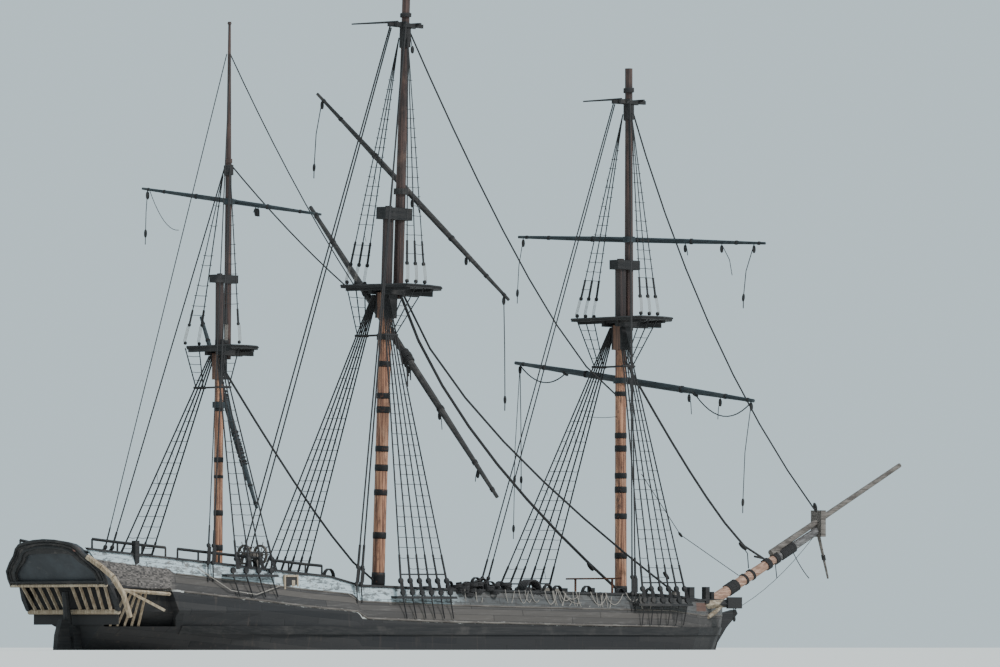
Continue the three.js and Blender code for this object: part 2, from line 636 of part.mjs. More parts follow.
function lowerMast(mast) {
  const hounds = houndsZ(mast);
  const tenon = capTop(mast) + 0.06;
  const pole = bar([0, 0, mast.deck], [0, 0, hounds], mast.foot_r, mast.hounds_r, ROUND);
  const foot = bar([0, 0, mast.deck - 0.2], [0, 0, mast.deck + 0.1], mast.foot_r, mast.foot_r, ROUND);
  const cheeks = block([mast.hounds_r * 2.3, mast.hounds_r * 2.5, 1.05], [0.02, 0, hounds + 0.35]);
  const headMiddle = (mast.cap_z + hounds - GAP) / 2;
  const head = block([mast.head * 2, mast.head * 2, mast.cap_z - hounds - GAP], [0, 0, headMiddle]);
  const pegMiddle = (mast.cap_z - 0.3 + tenon) / 2;
  const peg = block([mast.head * 1.3, mast.head * 1.3, tenon - mast.cap_z + 0.3], [0, 0, pegMiddle]);
  return fuse([pole, foot, cheeks, head, peg]);
}

// The top: bearers fore and aft, a round-fronted floor and the holes for the mast and topmast.
function top(mast) {
  const half = mast.top_wide / 2;
  const aft = -mast.top_aft;
  const front = aft + mast.top_long;
  const outline = [[aft, -half], [aft + mast.top_long * 0.42, -half],
    [aft + mast.top_long * 0.75, -half * 0.8]];
  outline.push([front - 0.08, -half * 0.45], [front, 0], [front - 0.08, half * 0.45]);
  outline.push([aft + mast.top_long * 0.75, half * 0.8], [aft + mast.top_long * 0.42, half], [aft, half]);
  const floor = plateXY(outline, 0.09, mast.top_z - 0.05);
  const bearers = [-1, 1].map((side) => {
    const y = side * (mast.hounds_r * 1.25 + 0.11);
    return block([mast.top_long * 0.86, 0.17, 0.26], [aft + mast.top_long * 0.5, y, mast.top_z - 0.17]);
  });
  const arms = [[-0.5, 0.93], [mast.top_gap + 0.42, 0.8]].map(([x, share]) => {
    return block([0.16, mast.top_wide * share, 0.12], [x, 0, mast.top_z - 0.1]);
  });
  const rim = [];
  for (let i = 0; i < outline.length; i++) {
    const a = outline[i];
    const b = outline[(i + 1) % outline.length];
    rim.push(bar([a[0], a[1], mast.top_z + 0.05], [b[0], b[1], mast.top_z + 0.05], 0.05, 0.05, 4));
  }
  const hole = block([mast.head * 2 + 2 * GAP, mast.head * 2 + 2 * GAP, 3], [0, 0, mast.top_z]);
  const topmastHole = block(
    [2 * mast.topmast_r + 2 * GAP, 2 * mast.topmast_r + 2 * GAP, 3],
    [mast.top_gap, 0, mast.top_z],
  );
  const lubber = [-1, 1].map((side) => {
    const y = side * (mast.hounds_r * 1.25 + 0.2 + 0.25);
    return block([0.75, 0.42, 3], [mast.top_gap * 0.35, y, mast.top_z]);
  });
  return fuse([floor, ...bearers, ...arms, ...rim]).subtract(fuse([hole, topmastHole, ...lubber]));
}

function cap(mast) {
  const middle = mast.top_gap / 2;
  const length = mast.top_gap + mast.topmast_r + mast.head + 0.48;
  const wide = Math.max(mast.head, mast.topmast_r) * 2 + 0.14;
  const body = block([length, wide, mast.cap_thick - GAP], [middle, 0, mast.cap_z + mast.cap_thick / 2]);
  const square = block([mast.head * 1.3 + 2 * GAP, mast.head * 1.3 + 2 * GAP, 2], [0, 0, mast.cap_z]);
  const r = mast.topmast_r + GAP;
  const round = bar([mast.top_gap, 0, mast.cap_z - 1], [mast.top_gap, 0, mast.cap_z + 1.4], r, r, ROUND);
  return body.subtract(square).subtract(round);
}

function topmast(mast) {
  const x = mast.top_gap;
  const foot = mast.top_z - 0.45;
  const clear = mast.cap_z + mast.cap_thick + 0.2;
  const heel = bar([x, 0, foot], [x, 0, clear], mast.topmast_r, mast.topmast_r, ROUND);
  if (mast.name === "mizzen") {
    const pole = bar([x, 0, clear], [x, 0, mast.tree_z], mast.topmast_r, mast.topmast_head_r, ROUND);
    const stop = bar([x, 0, mast.tree_z], [x, 0, mast.tree_z + 0.16], 0.15, 0.15, ROUND);
    const thin = bar([x, 0, mast.tree_z + 0.16], [x, 0, mast.end_z - 0.1], 0.105, 0.055, SMALL);
    const truck = bar([x, 0, mast.end_z - 0.1], [x, 0, mast.end_z], 0.09, 0.07, SMALL);
    return fuse([heel, pole, stop, thin, truck]);
  }
  const pole = bar([x, 0, clear], [x, 0, mast.tree_z - 0.3], mast.topmast_r, mast.topmast_head_r, ROUND);
  const headR = mast.topmast_head_r;
  const head = bar([x, 0, mast.tree_z - 0.3], [x, 0, mast.end_z], headR, headR, SMALL);
  return fuse([heel, pole, head]);
}

function crosstrees(mast) {
  const x = mast.top_gap;
  const z = mast.tree_z;
  const y = mast.topmast_head_r + 0.06 + GAP * 2;
  const pieces = [-1, 1].map((side) => block([1.5, 0.12, 0.16], [x, side * y, z]));
  for (const dx of [-0.42, 0.36]) {
    pieces.push(block([0.11, mast.tree_half * 2, 0.1], [x + dx, 0, z + 0.06]));
  }
  pieces.push(bar([x - 0.42, 0, z + 0.12], [x - 0.42, mast.outrigger, z + 0.14], 0.05, 0.03, 4));
  return fuse(pieces);
}

// The solid of a piece of the ship in a turned group's own frame.
function inGroup(solid, group) {
  group.updateWorldMatrix(true, false);
  return solid.transform(group.matrixWorld.clone().invert().toArray());
}

function masts(deck) {
  const groups = {};
  for (const mast of MASTS) {
    const group = mastGroup(mast);
    groups[mast.name] = group;
    place(mast.name + "_lower_mast", fitted(lowerMast(mast), inGroup(deck, group)), COLOURS.tan, group);
    place(mast.name + "_top", top(mast), COLOURS.black, group);
    place(mast.name + "_cap", cap(mast), COLOURS.black, group);
    place(mast.name + "_topmast", topmast(mast), COLOURS.redbrown, group);
    if (mast.outrigger) place(mast.name + "_crosstrees", crosstrees(mast), COLOURS.black, group);
  }
  return groups;
}

// Radius of the mast or topmast that a yard is held to, at a height along it.
function sparRadius(mast, lower, z) {
  if (lower) return lerp(mast.foot_r, mast.hounds_r, (z - mast.deck) / (houndsZ(mast) - mast.deck));
  const from = capTop(mast) + 0.2;
  const to = mast.name === "mizzen" ? mast.tree_z : mast.tree_z - 0.3;
  return lerp(mast.topmast_r, mast.topmast_head_r, Math.max(0, (z - from) / (to - from)));
}

// A yard with its parrel: a ring round the mast that the yard turns on.
const PARREL_HALF = 0.12;
const PARREL_THICK = 0.07;

const YARD_BUNT = 0.5; // half the length of a yard's thickest part, at the mast

function yard(row, mast) {
  const lower = row.on === "lower";
  const mastX = lower ? 0 : mast.top_gap;
  const room = sparRadius(mast, lower, row.z - PARREL_HALF);
  const ringOut = room + PARREL_THICK + 0.02;
  const yardX = mastX + ringOut + row.r + 0.02;
  const droop = radians(row.droop);
  const brace = radians(row.brace);
  const along = [Math.sin(brace) * Math.cos(droop), -Math.cos(brace) * Math.cos(droop), -Math.sin(droop)];
  const point = (t) => [yardX + along[0] * t, along[1] * t, row.z + along[2] * t];
  const half = row.length / 2;
  const slings = [row.out - half * 0.35, row.out + half * 0.35];
  const pieces = [bar(point(-YARD_BUNT), point(YARD_BUNT), row.r)];
  for (const [i, way] of [[0, -1], [1, 1]]) {
    const lap = way * 0.03; // each length starts inside of the one before it
    pieces.push(bar(point(way * YARD_BUNT - lap), point(slings[i]), row.r * 0.985, row.r * 0.96));
    pieces.push(bar(point(slings[i] - lap), point(row.out + way * half), row.r * 0.95, row.r * 0.5));
  }
  const low = [mastX, 0, row.z - PARREL_HALF];
  const high = [mastX, 0, row.z + PARREL_HALF];
  pieces.push(bar(low, high, ringOut, ringOut, ROUND));
  const chock = yardX - mastX - room + 0.04;
  pieces.push(block([chock, 0.2, 2 * PARREL_HALF - 0.03], [yardX - chock / 2, 0, row.z]));
  return fuse(pieces).subtract(bore([mastX, 0, row.z - 1], [mastX, 0, row.z + 1], room, ROUND));
}

function yards(groups) {
  for (const row of YARDS) {
    const mast = MASTS.find((m) => m.name === row.mast);
    const colour = row.mast === "main" ? COLOURS.greybrown : COLOURS.greenblue;
    place(row.name, yard(row, mast), colour, groups[row.mast]);
  }
}

function bowsprit() {
  const pole = spritPole();
  place("bowsprit", pole, COLOURS.tan);
  const saddleX = JIB_HEEL_X + 0.5;
  const saddle = block([0.3, 0.2, 0.5], [saddleX, 0, jibZ(saddleX) - 0.25], [0, -25.2, 0]);
  place("jibboom", fitted(jibPole().add(saddle), pole), COLOURS.greybrown);
  const capBody = block([0.3, 0.62, 1.15], [26.2, 0, 5.48]).subtract(spritPole(GAP)).subtract(jibPole(GAP));
  place("bowsprit_cap", capBody, COLOURS.black);
  const striker = bar([26.2, 0, 5.0], [26.8, 0, 3.1], 0.08, 0.045, SMALL);
  place("dolphin_striker", fitted(striker, capBody.add(spritPole())), COLOURS.dark);
  return pole;
}

// Main stays, each from the mast that it holds down to where it is made fast.
// Share and drop say how it hangs.
const STAYS = [
  {
    name: "fore_stay", from: [14.1, -0.15, 12.35], to: [22.95, 0, 3.85], share: 0.77, drop: 1.9, r: 0.05,
    on: ["fore_lower_mast", "bowsprit"],
  },
  {
    name: "fore_topmast_stay", from: [14.56, 0, 23.4], to: [26.15, 0, 5.9], share: 0.38,
    drop: 4.2, r: 0.035, on: ["fore_topmast", "bowsprit_cap"],
  },
  {
    name: "main_stay", from: [0.62, -0.6, 14.7], to: [14.0, 0, 2.45], share: 0.2, drop: 3.35, r: 0.06,
    on: ["main_top", "main_lower_mast", "fore_lower_mast"],
  },
  {
    name: "main_preventer_stay", from: [0.62, -0.75, 14.7], to: [18.5, -0.75, 1.4], share: 0.15, drop: 3.45,
    r: 0.045, on: ["main_top", "main_lower_mast", "hull"],
  },
  {
    name: "main_topmast_stay", from: [1.16, -0.44, 25.75], to: [14.06, 0, 10.6], share: 0.67, drop: 3.34,
    r: 0.035, on: ["main_topmast", "fore_lower_mast"],
  },
  {
    name: "mizzen_stay", from: [-8.8, -0.05, 11.6], to: [-0.1, 0, 2.75], share: 0.77, drop: 1.3, r: 0.045,
    on: ["mizzen_lower_mast", "main_lower_mast"],
  },
  {
    name: "mizzen_topmast_stay", from: [-8.32, -0.06, 19.65], to: [-0.4, 1.5, 14.95], share: 0.5, drop: 0.4,
    r: 0.03, on: ["mizzen_topmast", "main_top"],
  },
  {
    name: "mizzen_topgallant_stay", from: [-8.3, -0.07, 24.1], to: [-0.4, 1.0, 14.95], share: 0.5,
    drop: 0.8, r: 0.025, on: ["mizzen_topmast", "main_top"],
  },
];

function stays() {
  for (const row of STAYS) {
    let rope = hangingRope(row.from, row.to, row.share, row.drop, row.r);
    for (const name of row.on) rope = fitted(rope, worldSolid(name));
    place(row.name, largest(rope), COLOURS.rope);
  }
}

// Deck furniture

const WHEEL_X = [-7.36, -6.5];
const WHEEL_Z = 3.84;
const WHEEL_R = 0.41;
const SPOKES = 10;
const AXLE_R = 0.06;

function steeringWheel() {
  const pieces = [bar([WHEEL_X[0] - 0.12, 0, WHEEL_Z], [WHEEL_X[1] + 0.12, 0, WHEEL_Z], AXLE_R)];
  const middle = (WHEEL_X[0] + WHEEL_X[1]) / 2;
  // drum of the steering rope
  pieces.push(bar([middle - 0.08, 0, WHEEL_Z], [middle + 0.08, 0, WHEEL_Z], 0.14));
  for (const x of WHEEL_X) {
    const rim = bar([x - 0.045, 0, WHEEL_Z], [x + 0.045, 0, WHEEL_Z], WHEEL_R, WHEEL_R, 20);
    const hollow = bar([x - 0.2, 0, WHEEL_Z], [x + 0.2, 0, WHEEL_Z], WHEEL_R - 0.08, WHEEL_R - 0.08, 20);
    pieces.push(rim.subtract(hollow), bar([x - 0.07, 0, WHEEL_Z], [x + 0.07, 0, WHEEL_Z], 0.12));
    for (let i = 0; i < SPOKES; i++) {
      const a = (i * 2 * Math.PI) / SPOKES;
      const end = [x, Math.cos(a) * (WHEEL_R + 0.13), WHEEL_Z + Math.sin(a) * (WHEEL_R + 0.13)];
      pieces.push(bar([x, 0, WHEEL_Z], end, 0.028, 0.022, 4));
    }
  }
  return fuse(pieces);
}

function wheelStand() {
  const middle = (WHEEL_X[0] + WHEEL_X[1]) / 2;
  const low = deckZ(middle) - 0.1;
  const foot = block([1.0, 0.5, 0.2], [middle, 0, low + 0.1], [0, 3.3, 0]); // lies along the sloping deck
  const posts = [-0.17, 0.17].map((dx) => {
    return block([0.07, 0.24, WHEEL_Z - low + 0.1], [middle + dx, 0, (WHEEL_Z + 0.1 + low) / 2]);
  });
  return fuse([foot, ...posts]).subtract(bore([-8, 0, WHEEL_Z], [-5, 0, WHEEL_Z], AXLE_R));
}

const CAPSTAN_X = -2.6;
const CAPSTAN_STEP = 0.14; // thickness of the round step under it

function capstan() {
  const z = WAIST_Z + CAPSTAN_STEP + 2 * GAP;
  const barrel = turned([[0, z], [0.36, z], [0.3, z + 0.12], [0.22, z + 0.6], [0.26, z + 0.74],
    [0.4, z + 0.78], [0.42, z + 1.0], [0.36, z + 1.04], [0, z + 1.04]]);
  const moved = barrel.translate([CAPSTAN_X * M, 0, 0]);
  const holes = [0, 1, 2, 3].map((i) => block([1.2, 0.08, 0.09], [CAPSTAN_X, 0, z + 0.89], [0, 0, i * 45]));
  return moved.subtract(fuse(holes).subtract(bar([CAPSTAN_X, 0, z], [CAPSTAN_X, 0, z + 2], 0.22)));
}

const WINDLASS = { x: 15.9, z: 2.0, r: 0.24, pin: 0.1, half: 1.25, bitt: 1.42 };

function windlass() {
  const { x, z, r, pin, half, bitt } = WINDLASS;
  const barrel = bar([x, -half, z], [x, half, z], r);
  return fuse([barrel, bar([x, -bitt - 0.2, z], [x, bitt + 0.2, z], pin)]);
}

function windlassBitts() {
  const { x, z, pin, bitt } = WINDLASS;
  const low = WAIST_Z - 0.1;
  const pieces = [block([0.24, 3.1, 0.26], [x - 0.3, 0, low + 0.13])];
  for (const side of [-1, 1]) {
    pieces.push(block([0.34, 0.26, 1.1], [x, side * bitt, low + 0.55]));
    pieces.push(block([0.5, 0.26, 0.28], [x - 0.1, side * bitt, low + 0.14]));
  }
  return fuse(pieces).subtract(bore([x, -3, z], [x, 3, z], pin));
}

const HATCH = { x: 5.2, long: 2.8, wide: 2.2, high: 0.3, wall: 0.15 };

function mainHatch() {
  const { x, long, wide, high, wall } = HATCH;
  const middle = [x, 0, WAIST_Z + GAP + high / 2];
  const coaming = block([long, wide, high], middle);
  return coaming.subtract(block([long - 2 * wall, wide - 2 * wall, high], [x, 0, middle[2] + 0.05]));
}

// A box over the ladder to the lower deck, with an arched roof.
const HOOD = { x: 9.6, long: 1.2, wide: 1.1, wall: 0.7, arch: 0.45 };

function companionHood() {
  const { x, long, wide, wall, arch } = HOOD;
  const outline = [[-wide / 2, 0], [wide / 2, 0], [wide / 2, wall], [wide * 0.42, wall + arch * 0.55],
    [wide * 0.22, wall + arch * 0.9], [0, wall + arch], [-wide * 0.22, wall + arch * 0.9],
    [-wide * 0.42, wall + arch * 0.55], [-wide / 2, wall]];
  const shape = new THREE.Shape(outline.map(([y, z]) => new THREE.Vector2(y * M, z * M)));
  const geometry = new THREE.ExtrudeGeometry(shape, { depth: long * M, bevelEnabled: false });
  const m = new THREE.Matrix4();
  m.set(0, 0, 1, (x - long / 2) * M, 1, 0, 0, 0, 0, 1, 0, (WAIST_Z + GAP) * M, 0, 0, 0, 1);
  return solidOf(geometry, m);
}

function furniture(deck) {
  place("steering_wheel", steeringWheel(), COLOURS.greybrown);
  place("wheel_stand", fitted(wheelStand(), deck), COLOURS.greybrown);
  place("capstan", capstan(), COLOURS.redbrown);
  const base = WAIST_Z + GAP;
  const step = bar([CAPSTAN_X, 0, base], [CAPSTAN_X, 0, base + CAPSTAN_STEP], 0.55, 0.55, ROUND);
  place("capstan_step", step, COLOURS.deck);
  place("windlass_barrel", windlass(), COLOURS.greybrown);
  place("windlass_bitts", fitted(windlassBitts(), deck), COLOURS.greybrown);
  place("main_hatch", mainHatch(), COLOURS.deck);
  place("companion_hood", companionHood(), COLOURS.deck);
}

const deck = hull();
const groups = masts(deck);
yards(groups);
bowsprit();
stays();
furniture(deck);

export default ship;
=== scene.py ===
"""Looks of a laid-up tall ship: its rigging, hanging gear, weathered timber and a plain studio.

Lengths are metres of the full-size ship. SCALE turns them into metres of the model.
"""

import math
import random
from collections import namedtuple
from fnmatch import fnmatchcase

import bmesh
import bpy
from bpy.props import FloatProperty, FloatVectorProperty, IntProperty, PointerProperty
from mathutils import Matrix, Vector
from mathutils.bvhtree import BVHTree


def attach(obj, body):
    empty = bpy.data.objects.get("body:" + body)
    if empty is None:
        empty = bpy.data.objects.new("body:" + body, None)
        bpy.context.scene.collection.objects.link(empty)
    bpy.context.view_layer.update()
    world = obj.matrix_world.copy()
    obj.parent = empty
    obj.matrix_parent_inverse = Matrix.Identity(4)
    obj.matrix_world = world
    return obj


bl_info = {
    "name": "Laid-up tall ship",
    "version": (1, 0, 0),
    "blender": (4, 5, 0),
    "location": "View3D > Sidebar > Tall ship",
    "description": "Builds the rigging, fittings and materials of a laid-up tall ship",
    "category": "Object",
}

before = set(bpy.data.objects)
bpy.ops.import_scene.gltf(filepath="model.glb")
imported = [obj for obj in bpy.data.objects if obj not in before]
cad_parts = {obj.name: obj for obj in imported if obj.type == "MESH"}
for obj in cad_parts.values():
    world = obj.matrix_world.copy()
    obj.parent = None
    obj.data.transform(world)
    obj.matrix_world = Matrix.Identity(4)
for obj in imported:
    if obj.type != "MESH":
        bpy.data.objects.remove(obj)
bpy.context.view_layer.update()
SCALE = 0.5
STARBOARD, PORT = -1, 1
SIDES = (STARBOARD, PORT)
DOWN = Vector((0, 0, -1))
# Directions in which the ship is looked at: to the right in the picture and away from the viewer.
VIEW_RIGHT = Vector((0.719, -0.695, 0))
VIEW_AHEAD = Vector((0.695, 0.719, 0))
CAMERA_BACK, CAMERA_ASIDE, CAMERA_UP = 150, 2.5, 0.06
CAMERA_REACH = 2000
FLOOR_CENTRE = (60, 60, 0)
SUN_FROM, SUN_SPREAD = (0.15, -0.75, 0.75), 12

# Place of the foot along the ship, lean in degrees, height of the deck, radius at the foot and the
# hounds, height and width of the top, height over the cap, how far the topmast stands ahead, its
# radius at the cap and the head, and the height of its trees.
Mast = namedtuple("Mast", "x lean deck foot hounds top wide cap_top gap topmast topmast_head trees")
MASTS = {
    "fore": Mast(14.06, 0.0, 1.45, 0.265, 0.235, 13.97, 4.2, 16.5, 0.5, 0.185, 0.16, 23.23),
    "main": Mast(0.0, 1.12, 1.45, 0.27, 0.265, 14.88, 3.96, 18.16, 0.65, 0.215, 0.165, 25.7),
    "mizzen": Mast(-8.8, 0.2, 2.72, 0.19, 0.18, 12.13, 2.65, 15.07, 0.44, 0.145, 0.125, 19.6),
}
MAST_PIVOT_Z = 2.5
HOUNDS_DROP = 1.1

# Its mast, whether that is the lower one, height there, slide to starboard, length, radius, and
# droop and brace in degrees.
Yard = namedtuple("Yard", "mast lower z out length r droop brace")
YARDS = {
    "main_yard": Yard("main", True, 12.83, 0.73, 18.4, 0.16, 41.2, -8),
    "main_topsail_yard": Yard("main", False, 18.85, 0.23, 12.75, 0.13, 42.2, 16),
    "fore_yard": Yard("fore", True, 11.39, 0.22, 14.4, 0.15, 7.9, 0),
    "fore_topsail_yard": Yard("fore", False, 17.39, 0.24, 12.1, 0.12, 2.9, 15),
    "crossjack_yard": Yard("mizzen", True, 9.84, 0.32, 9.3, 0.13, 57.1, -15),
    "mizzen_topsail_yard": Yard("mizzen", False, 18.04, -0.18, 8.6, 0.1, 8.5, 16),
}

# First and last deadeye of the lower shrouds, height and reach of their channel, their number, how
# far from the mast's axis the first one's head lies, the number of topmast shrouds, how far under
# the top the futtock stave is, and the deadeyes' radius.
Gang = namedtuple("Gang", "first last z out count head upper stave eye")
GANGS = {
    "fore": Gang(10.9, 13.7, 1.88, 0.36, 6, -0.32, 3, 2.0, 0.12),
    "main": Gang(-2.8, -0.2, 2.12, 0.34, 6, -0.46, 3, 2.0, 0.12),
    "mizzen": Gang(-11.1, -9.2, 2.95, 0.3, 4, -0.32, 2, 1.6, 0.1),
}
HEADS_SPREAD = 0.26
LOWER_EYES_APART, UPPER_EYES_APART, BACKSTAY_EYES_APART = 0.5, 0.75, 0.7
# Share of a lower and an upper shroud that is served with line, and how much thicker that makes it.
LOWER_SERVED, UPPER_SERVED, SERVED = 0.09, 0.1, 1.5

# Mast, how far aft and out the head lies and its height, where the backstay comes down on the port
# and the starboard side, the foot's height and the radius.
BACKSTAYS = [
    ("fore", 0.42, 0.5, 23.2, 9.8, 10.45, 2.1, 0.03),
    ("fore", 0.42, 0.42, 23.15, 10.15, 10.65, 2.1, 0.03),
    ("main", 0.42, 0.48, 25.65, -4.2, -5.0, 2.4, 0.035),
    ("main", 0.42, 0.4, 25.6, -3.85, -4.75, 2.4, 0.035),
    ("mizzen", 0.05, 0.1, 24.0, -11.95, -12.4, 3.2, 0.022),
    ("mizzen", 0.05, 0.15, 19.5, -11.6, -12.15, 3.2, 0.03),
]

# Black hoops of the lower masts: height and depth of each.
HOOPS = {
    "main": [(11.72, 0.24), (10.41, 0.24), (9.84, 0.27), (8.24, 0.24), (7.46, 0.27), (6.45, 0.25),
             (4.69, 0.27), (2.9, 0.55)],
    "fore": [(10.83, 0.2), (9.06, 0.24), (8.51, 0.27), (7.36, 0.24), (6.77, 0.27), (5.65, 0.24),
             (3.98, 0.26), (2.5, 0.4)],
    "mizzen": [(9.68, 0.2), (7.63, 0.2), (6.95, 0.12), (5.5, 0.22), (4.1, 0.24)],
}
# Rope wound round the bowsprit: from and to along the ship, radius and number of turns.
SPRIT_LASHINGS = [
    (20.51, 21.06, 0.25, 10), (21.5, 21.62, 0.24, 2), (21.92, 22.05, 0.235, 2), (18.9, 19.25, 0.27, 6),
    (22.86, 23.1, 0.235, 4), (23.4, 23.61, 0.23, 4), (23.79, 24.61, 0.225, 14),
]
# Seizings under the topmasts' trees and collars over them: mast, low and high end under the trees.
SEIZINGS = [("fore", 0.75, 0.08), ("main", 0.9, 0.08), ("fore", -0.42, -0.6), ("main", -0.35, -0.5),
            ("mizzen", 0.5, 0.1)]

# Hanging ends of each yard: share along it, how far the end hangs to the right and down, radius.
PENDANTS = {
    "main_topsail_yard": [(0.026, -0.33, 2.85, 0.022), (0.974, 0.05, 4.3, 0.024), (0.5, 0.3, 0.7, 0.02),
                          (0.78, 0.15, 0.35, 0.02)],
    "fore_topsail_yard": [(0.02, -0.25, 2.4, 0.018), (0.955, -0.45, 2.3, 0.022), (0.68, 0.1, 0.6, 0.02),
                          (0.826, 0.44, 1.4, 0.018)],
    "fore_yard": [(0.02, 0.05, 5.0, 0.022), (0.02, -0.28, 7.1, 0.018), (0.99, -0.36, 4.25, 0.02),
                  (0.735, 0.1, 1.0, 0.02), (0.863, -0.1, 1.0, 0.018)],
    "mizzen_topsail_yard": [(0.03, -0.08, 1.8, 0.018), (0.65, 0.06, 0.45, 0.02), (0.64, -0.1, 0.3, 0.02)],
    "main_yard": [(0.7, 0.1, 0.9, 0.02), (0.9, -0.1, 0.6, 0.02), (0.52, 0.08, 1.3, 0.035),
                  (0.51, 0.2, 1.0, 0.03), (0.54, 0.05, 0.8, 0.03)],
    "crossjack_yard": [(0.8, 0.08, 0.5, 0.018)],
}
# Ropes that hang in a bight under a yard: the two shares, sag, radius and the share of its block.
BIGHTS = {"fore_yard": [(0.02, 0.215, 0.55, 0.028, 0.215), (0.76, 0.99, 0.75, 0.026, 0.76)]}
# Rope wound round a yard: from and to in shares, radius, number of turns and thickness.
YARD_WRAPS = {
    "main_yard": [(0.508, 0.52, 0.19, 3, 0.03), (0.52, 0.532, 0.21, 3, 0.03), (0.533, 0.545, 0.19, 3, 0.03)],
    "crossjack_yard": [(0.32, 0.44, 0.14, 6, 0.024), (0.44, 0.32, 0.15, 5, 0.02),
                       (0.6, 0.78, 0.13, 10, 0.024), (0.78, 0.6, 0.14, 8, 0.02)],
}
LASHING_SHARES = (0.03, 0.12, 0.3, 0.7, 0.88, 0.97)  # where thin line is wound round every yard
# Ends that hang further down than these have a block at the end, and one on the way too.
BLOCK_AT_END, BLOCK_ON_THE_WAY = 1.5, 6
PENDANT_BLOCK, BIGHT_BLOCK = (0.09, 0.07, 0.17), (0.1, 0.08, 0.18)

# Ropes at the bow, on the fore stay and at the bowsprit: their points and radius.
BOW_ROPES = [
    ([(15.0, -0.3, 7.45), (17.3, -0.35, 4.9), (21.1, -0.1, 3.2)], 0.016),
    ([(21.5, -0.05, 4.35), (21.66, -0.1, 4.15), (21.73, -0.1, 3.5)], 0.022),
    ([(22.2, 0, 4.02), (22.7, 0, 3.95)], 0.05),
    ([(23.3, -0.18, 3.75), (23.38, -0.2, 3.1)], 0.02),
    ([(26.02, 0, 6.15), (26.15, 0, 5.95)], 0.05),
]
# Slack ropes there and abaft the foremast: both ends, sag and radius.
SLACK_ROPES = [
    ((12.4, 0.5, 9.86), (13.8, 0.0, 9.86), 0.05, 0.014),
    ((24.46, -0.15, 4.2), (25.5, -0.1, 3.1), 0.08, 0.02),
    ((20.85, 0, 1.68), (25.95, 0, 4.95), 0.35, 0.012),
]
# Blocks and hearts of the stays: place, direction and size.
STAY_BLOCKS = [
    ((17.3, -0.35, 4.9), (1, 0, -1), (0.08, 0.06, 0.15)),
    ((21.45, -0.02, 4.45), (0.8, 0, -0.6), (0.13, 0.09, 0.26)),
    ((26.0, 0, 6.22), (0.4, 0, -1), (0.1, 0.08, 0.18)),
    ((12.15, -0.1, 3.5), (0.7, 0, -0.7), (0.12, 0.09, 0.24)),
    ((16.1, -0.68, 3.15), (0.7, 0, -0.7), (0.11, 0.08, 0.22)),
]
CATHEAD_TIP = (16.75, 4.07, 1.8)  # on the port side
RAIL_COILS = (6.5, 8.2, 10.2, 12.0, -6.0, -9.9)  # places along both rails
# Coils on the deck and on the mizzen top: centre, radius and number of turns.
DECK_COILS = [
    ((-8.6, 0.0, 12.2), 0.27, 6), ((12.8, -0.6, 1.48), 0.4, 6), ((1.2, 0.9, 1.48), 0.38, 6),
    ((1.3, -1.0, 1.48), 0.42, 7), ((-10.4, 0.5, 2.9), 0.33, 5), ((15.0, 1.2, 1.48), 0.4, 6),
]
# Heaps on the starboard rail: from and to along it, number of loops and how high they reach.
RAIL_HEAPS = [(0.4, 3.7, 70, 0.3), (4.3, 5.3, 5, 0.05), (5.6, 8.6, 8, 0.0)]
ROPE_ARCH_X = 4.85  # the coil that stands up between the heaps
FALLS = 22  # number of ropes that hang over the side
# Slack rope along the quarter: place along the ship and height of its points.
QUARTER_ROPE = [(-12.9, 3.25), (-11.4, 2.35), (-10.2, 2.2), (-8.9, 2.55), (-7.9, 3.35)]

# Top of the planking, and the half outline of the stern from its foot to its crown.
RAIL_LINE = [(-18.0, 4.06), (-15.45, 3.75), (-14.2, 3.63), (-10.3, 3.28), (-7.4, 3.0), (-5.05, 2.83),
             (-4.9, 2.56), (-0.2, 2.42), (7.7, 2.3), (13.0, 2.25), (15.0, 2.05), (19.4, 2.05)]
STERN_HALF = [(2.9, 2.55), (2.93, 2.8), (2.87, 3.12), (2.5, 3.45), (2.12, 3.72), (1.86, 4.0), (1.6, 4.15),
              (1.2, 4.23), (0.65, 4.3), (0.0, 4.33)]
STERN_FOOT_Z = 2.55
TRANSOM_FOOT, TRANSOM_RAKE = -16.073, 0.438
QUARTER_END_X = -14.3  # forward end of the bare quarter
DARK_SIDE_X = -0.6  # where the pale paint of the side ends, at the main mast
# Depths under the rail of the pale band's lower edge, of its batten and of the thin pale line.
BAND_DEPTH, BATTEN_DEPTH, LINE_DEPTH = 0.58, 0.6, 1.28
BATTEN_START_X, LINE_START_X = -13.9, -13.6
WAIST_Z = 1.46
# A point on the bowsprit's axis and how steeply it rises.
SPRIT_X, SPRIT_Z, SPRIT_SLOPE = 26.29, 5.252, 0.47

GUN_PORT_X, GUN_PORT_Z = -8.25, 2.66
# Frame of the gun port: shift along and up, and size.
GUN_PORT_FRAME = [
    (0, 0.29, (0.76, 0.09, 0.08)), (0, -0.29, (0.76, 0.09, 0.08)),
    (-0.34, 0, (0.08, 0.09, 0.5)), (0.34, 0, (0.08, 0.09, 0.5)), (0.12, -0.02, (0.16, 0.07, 0.28)),
]
CROSSBAR_X = 12.45
BITTS = [(1.0, 2.8, 2.5), (-1.1, 2.4, 2.35)]  # place along the ship, width and height
HATCH_COVER = ((5.2, 0, 1.78), (2.7, 2.1, 0.05))
# Painted shade: centre and size of a near-black plate across the open counter, which stands in for the shade
# inside it.
COUNTER_SHADE_PLATE = ((-16.28, 0, 1.75), (0.04, 5.1, 1.5))


# Places


def hull_surface():
    """The hull and its bulwarks as one surface, for ropes to be led to."""
    points, faces = [], []
    for name in ("hull", "bulwark_starboard", "bulwark_port"):
        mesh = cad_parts[name].data
        start = len(points)
        points += [v.co.copy() for v in mesh.vertices]
        faces += [[start + i for i in p.vertices] for p in mesh.polygons]
    return BVHTree.FromPolygons(points, faces)


HULL_SURFACE = hull_surface()


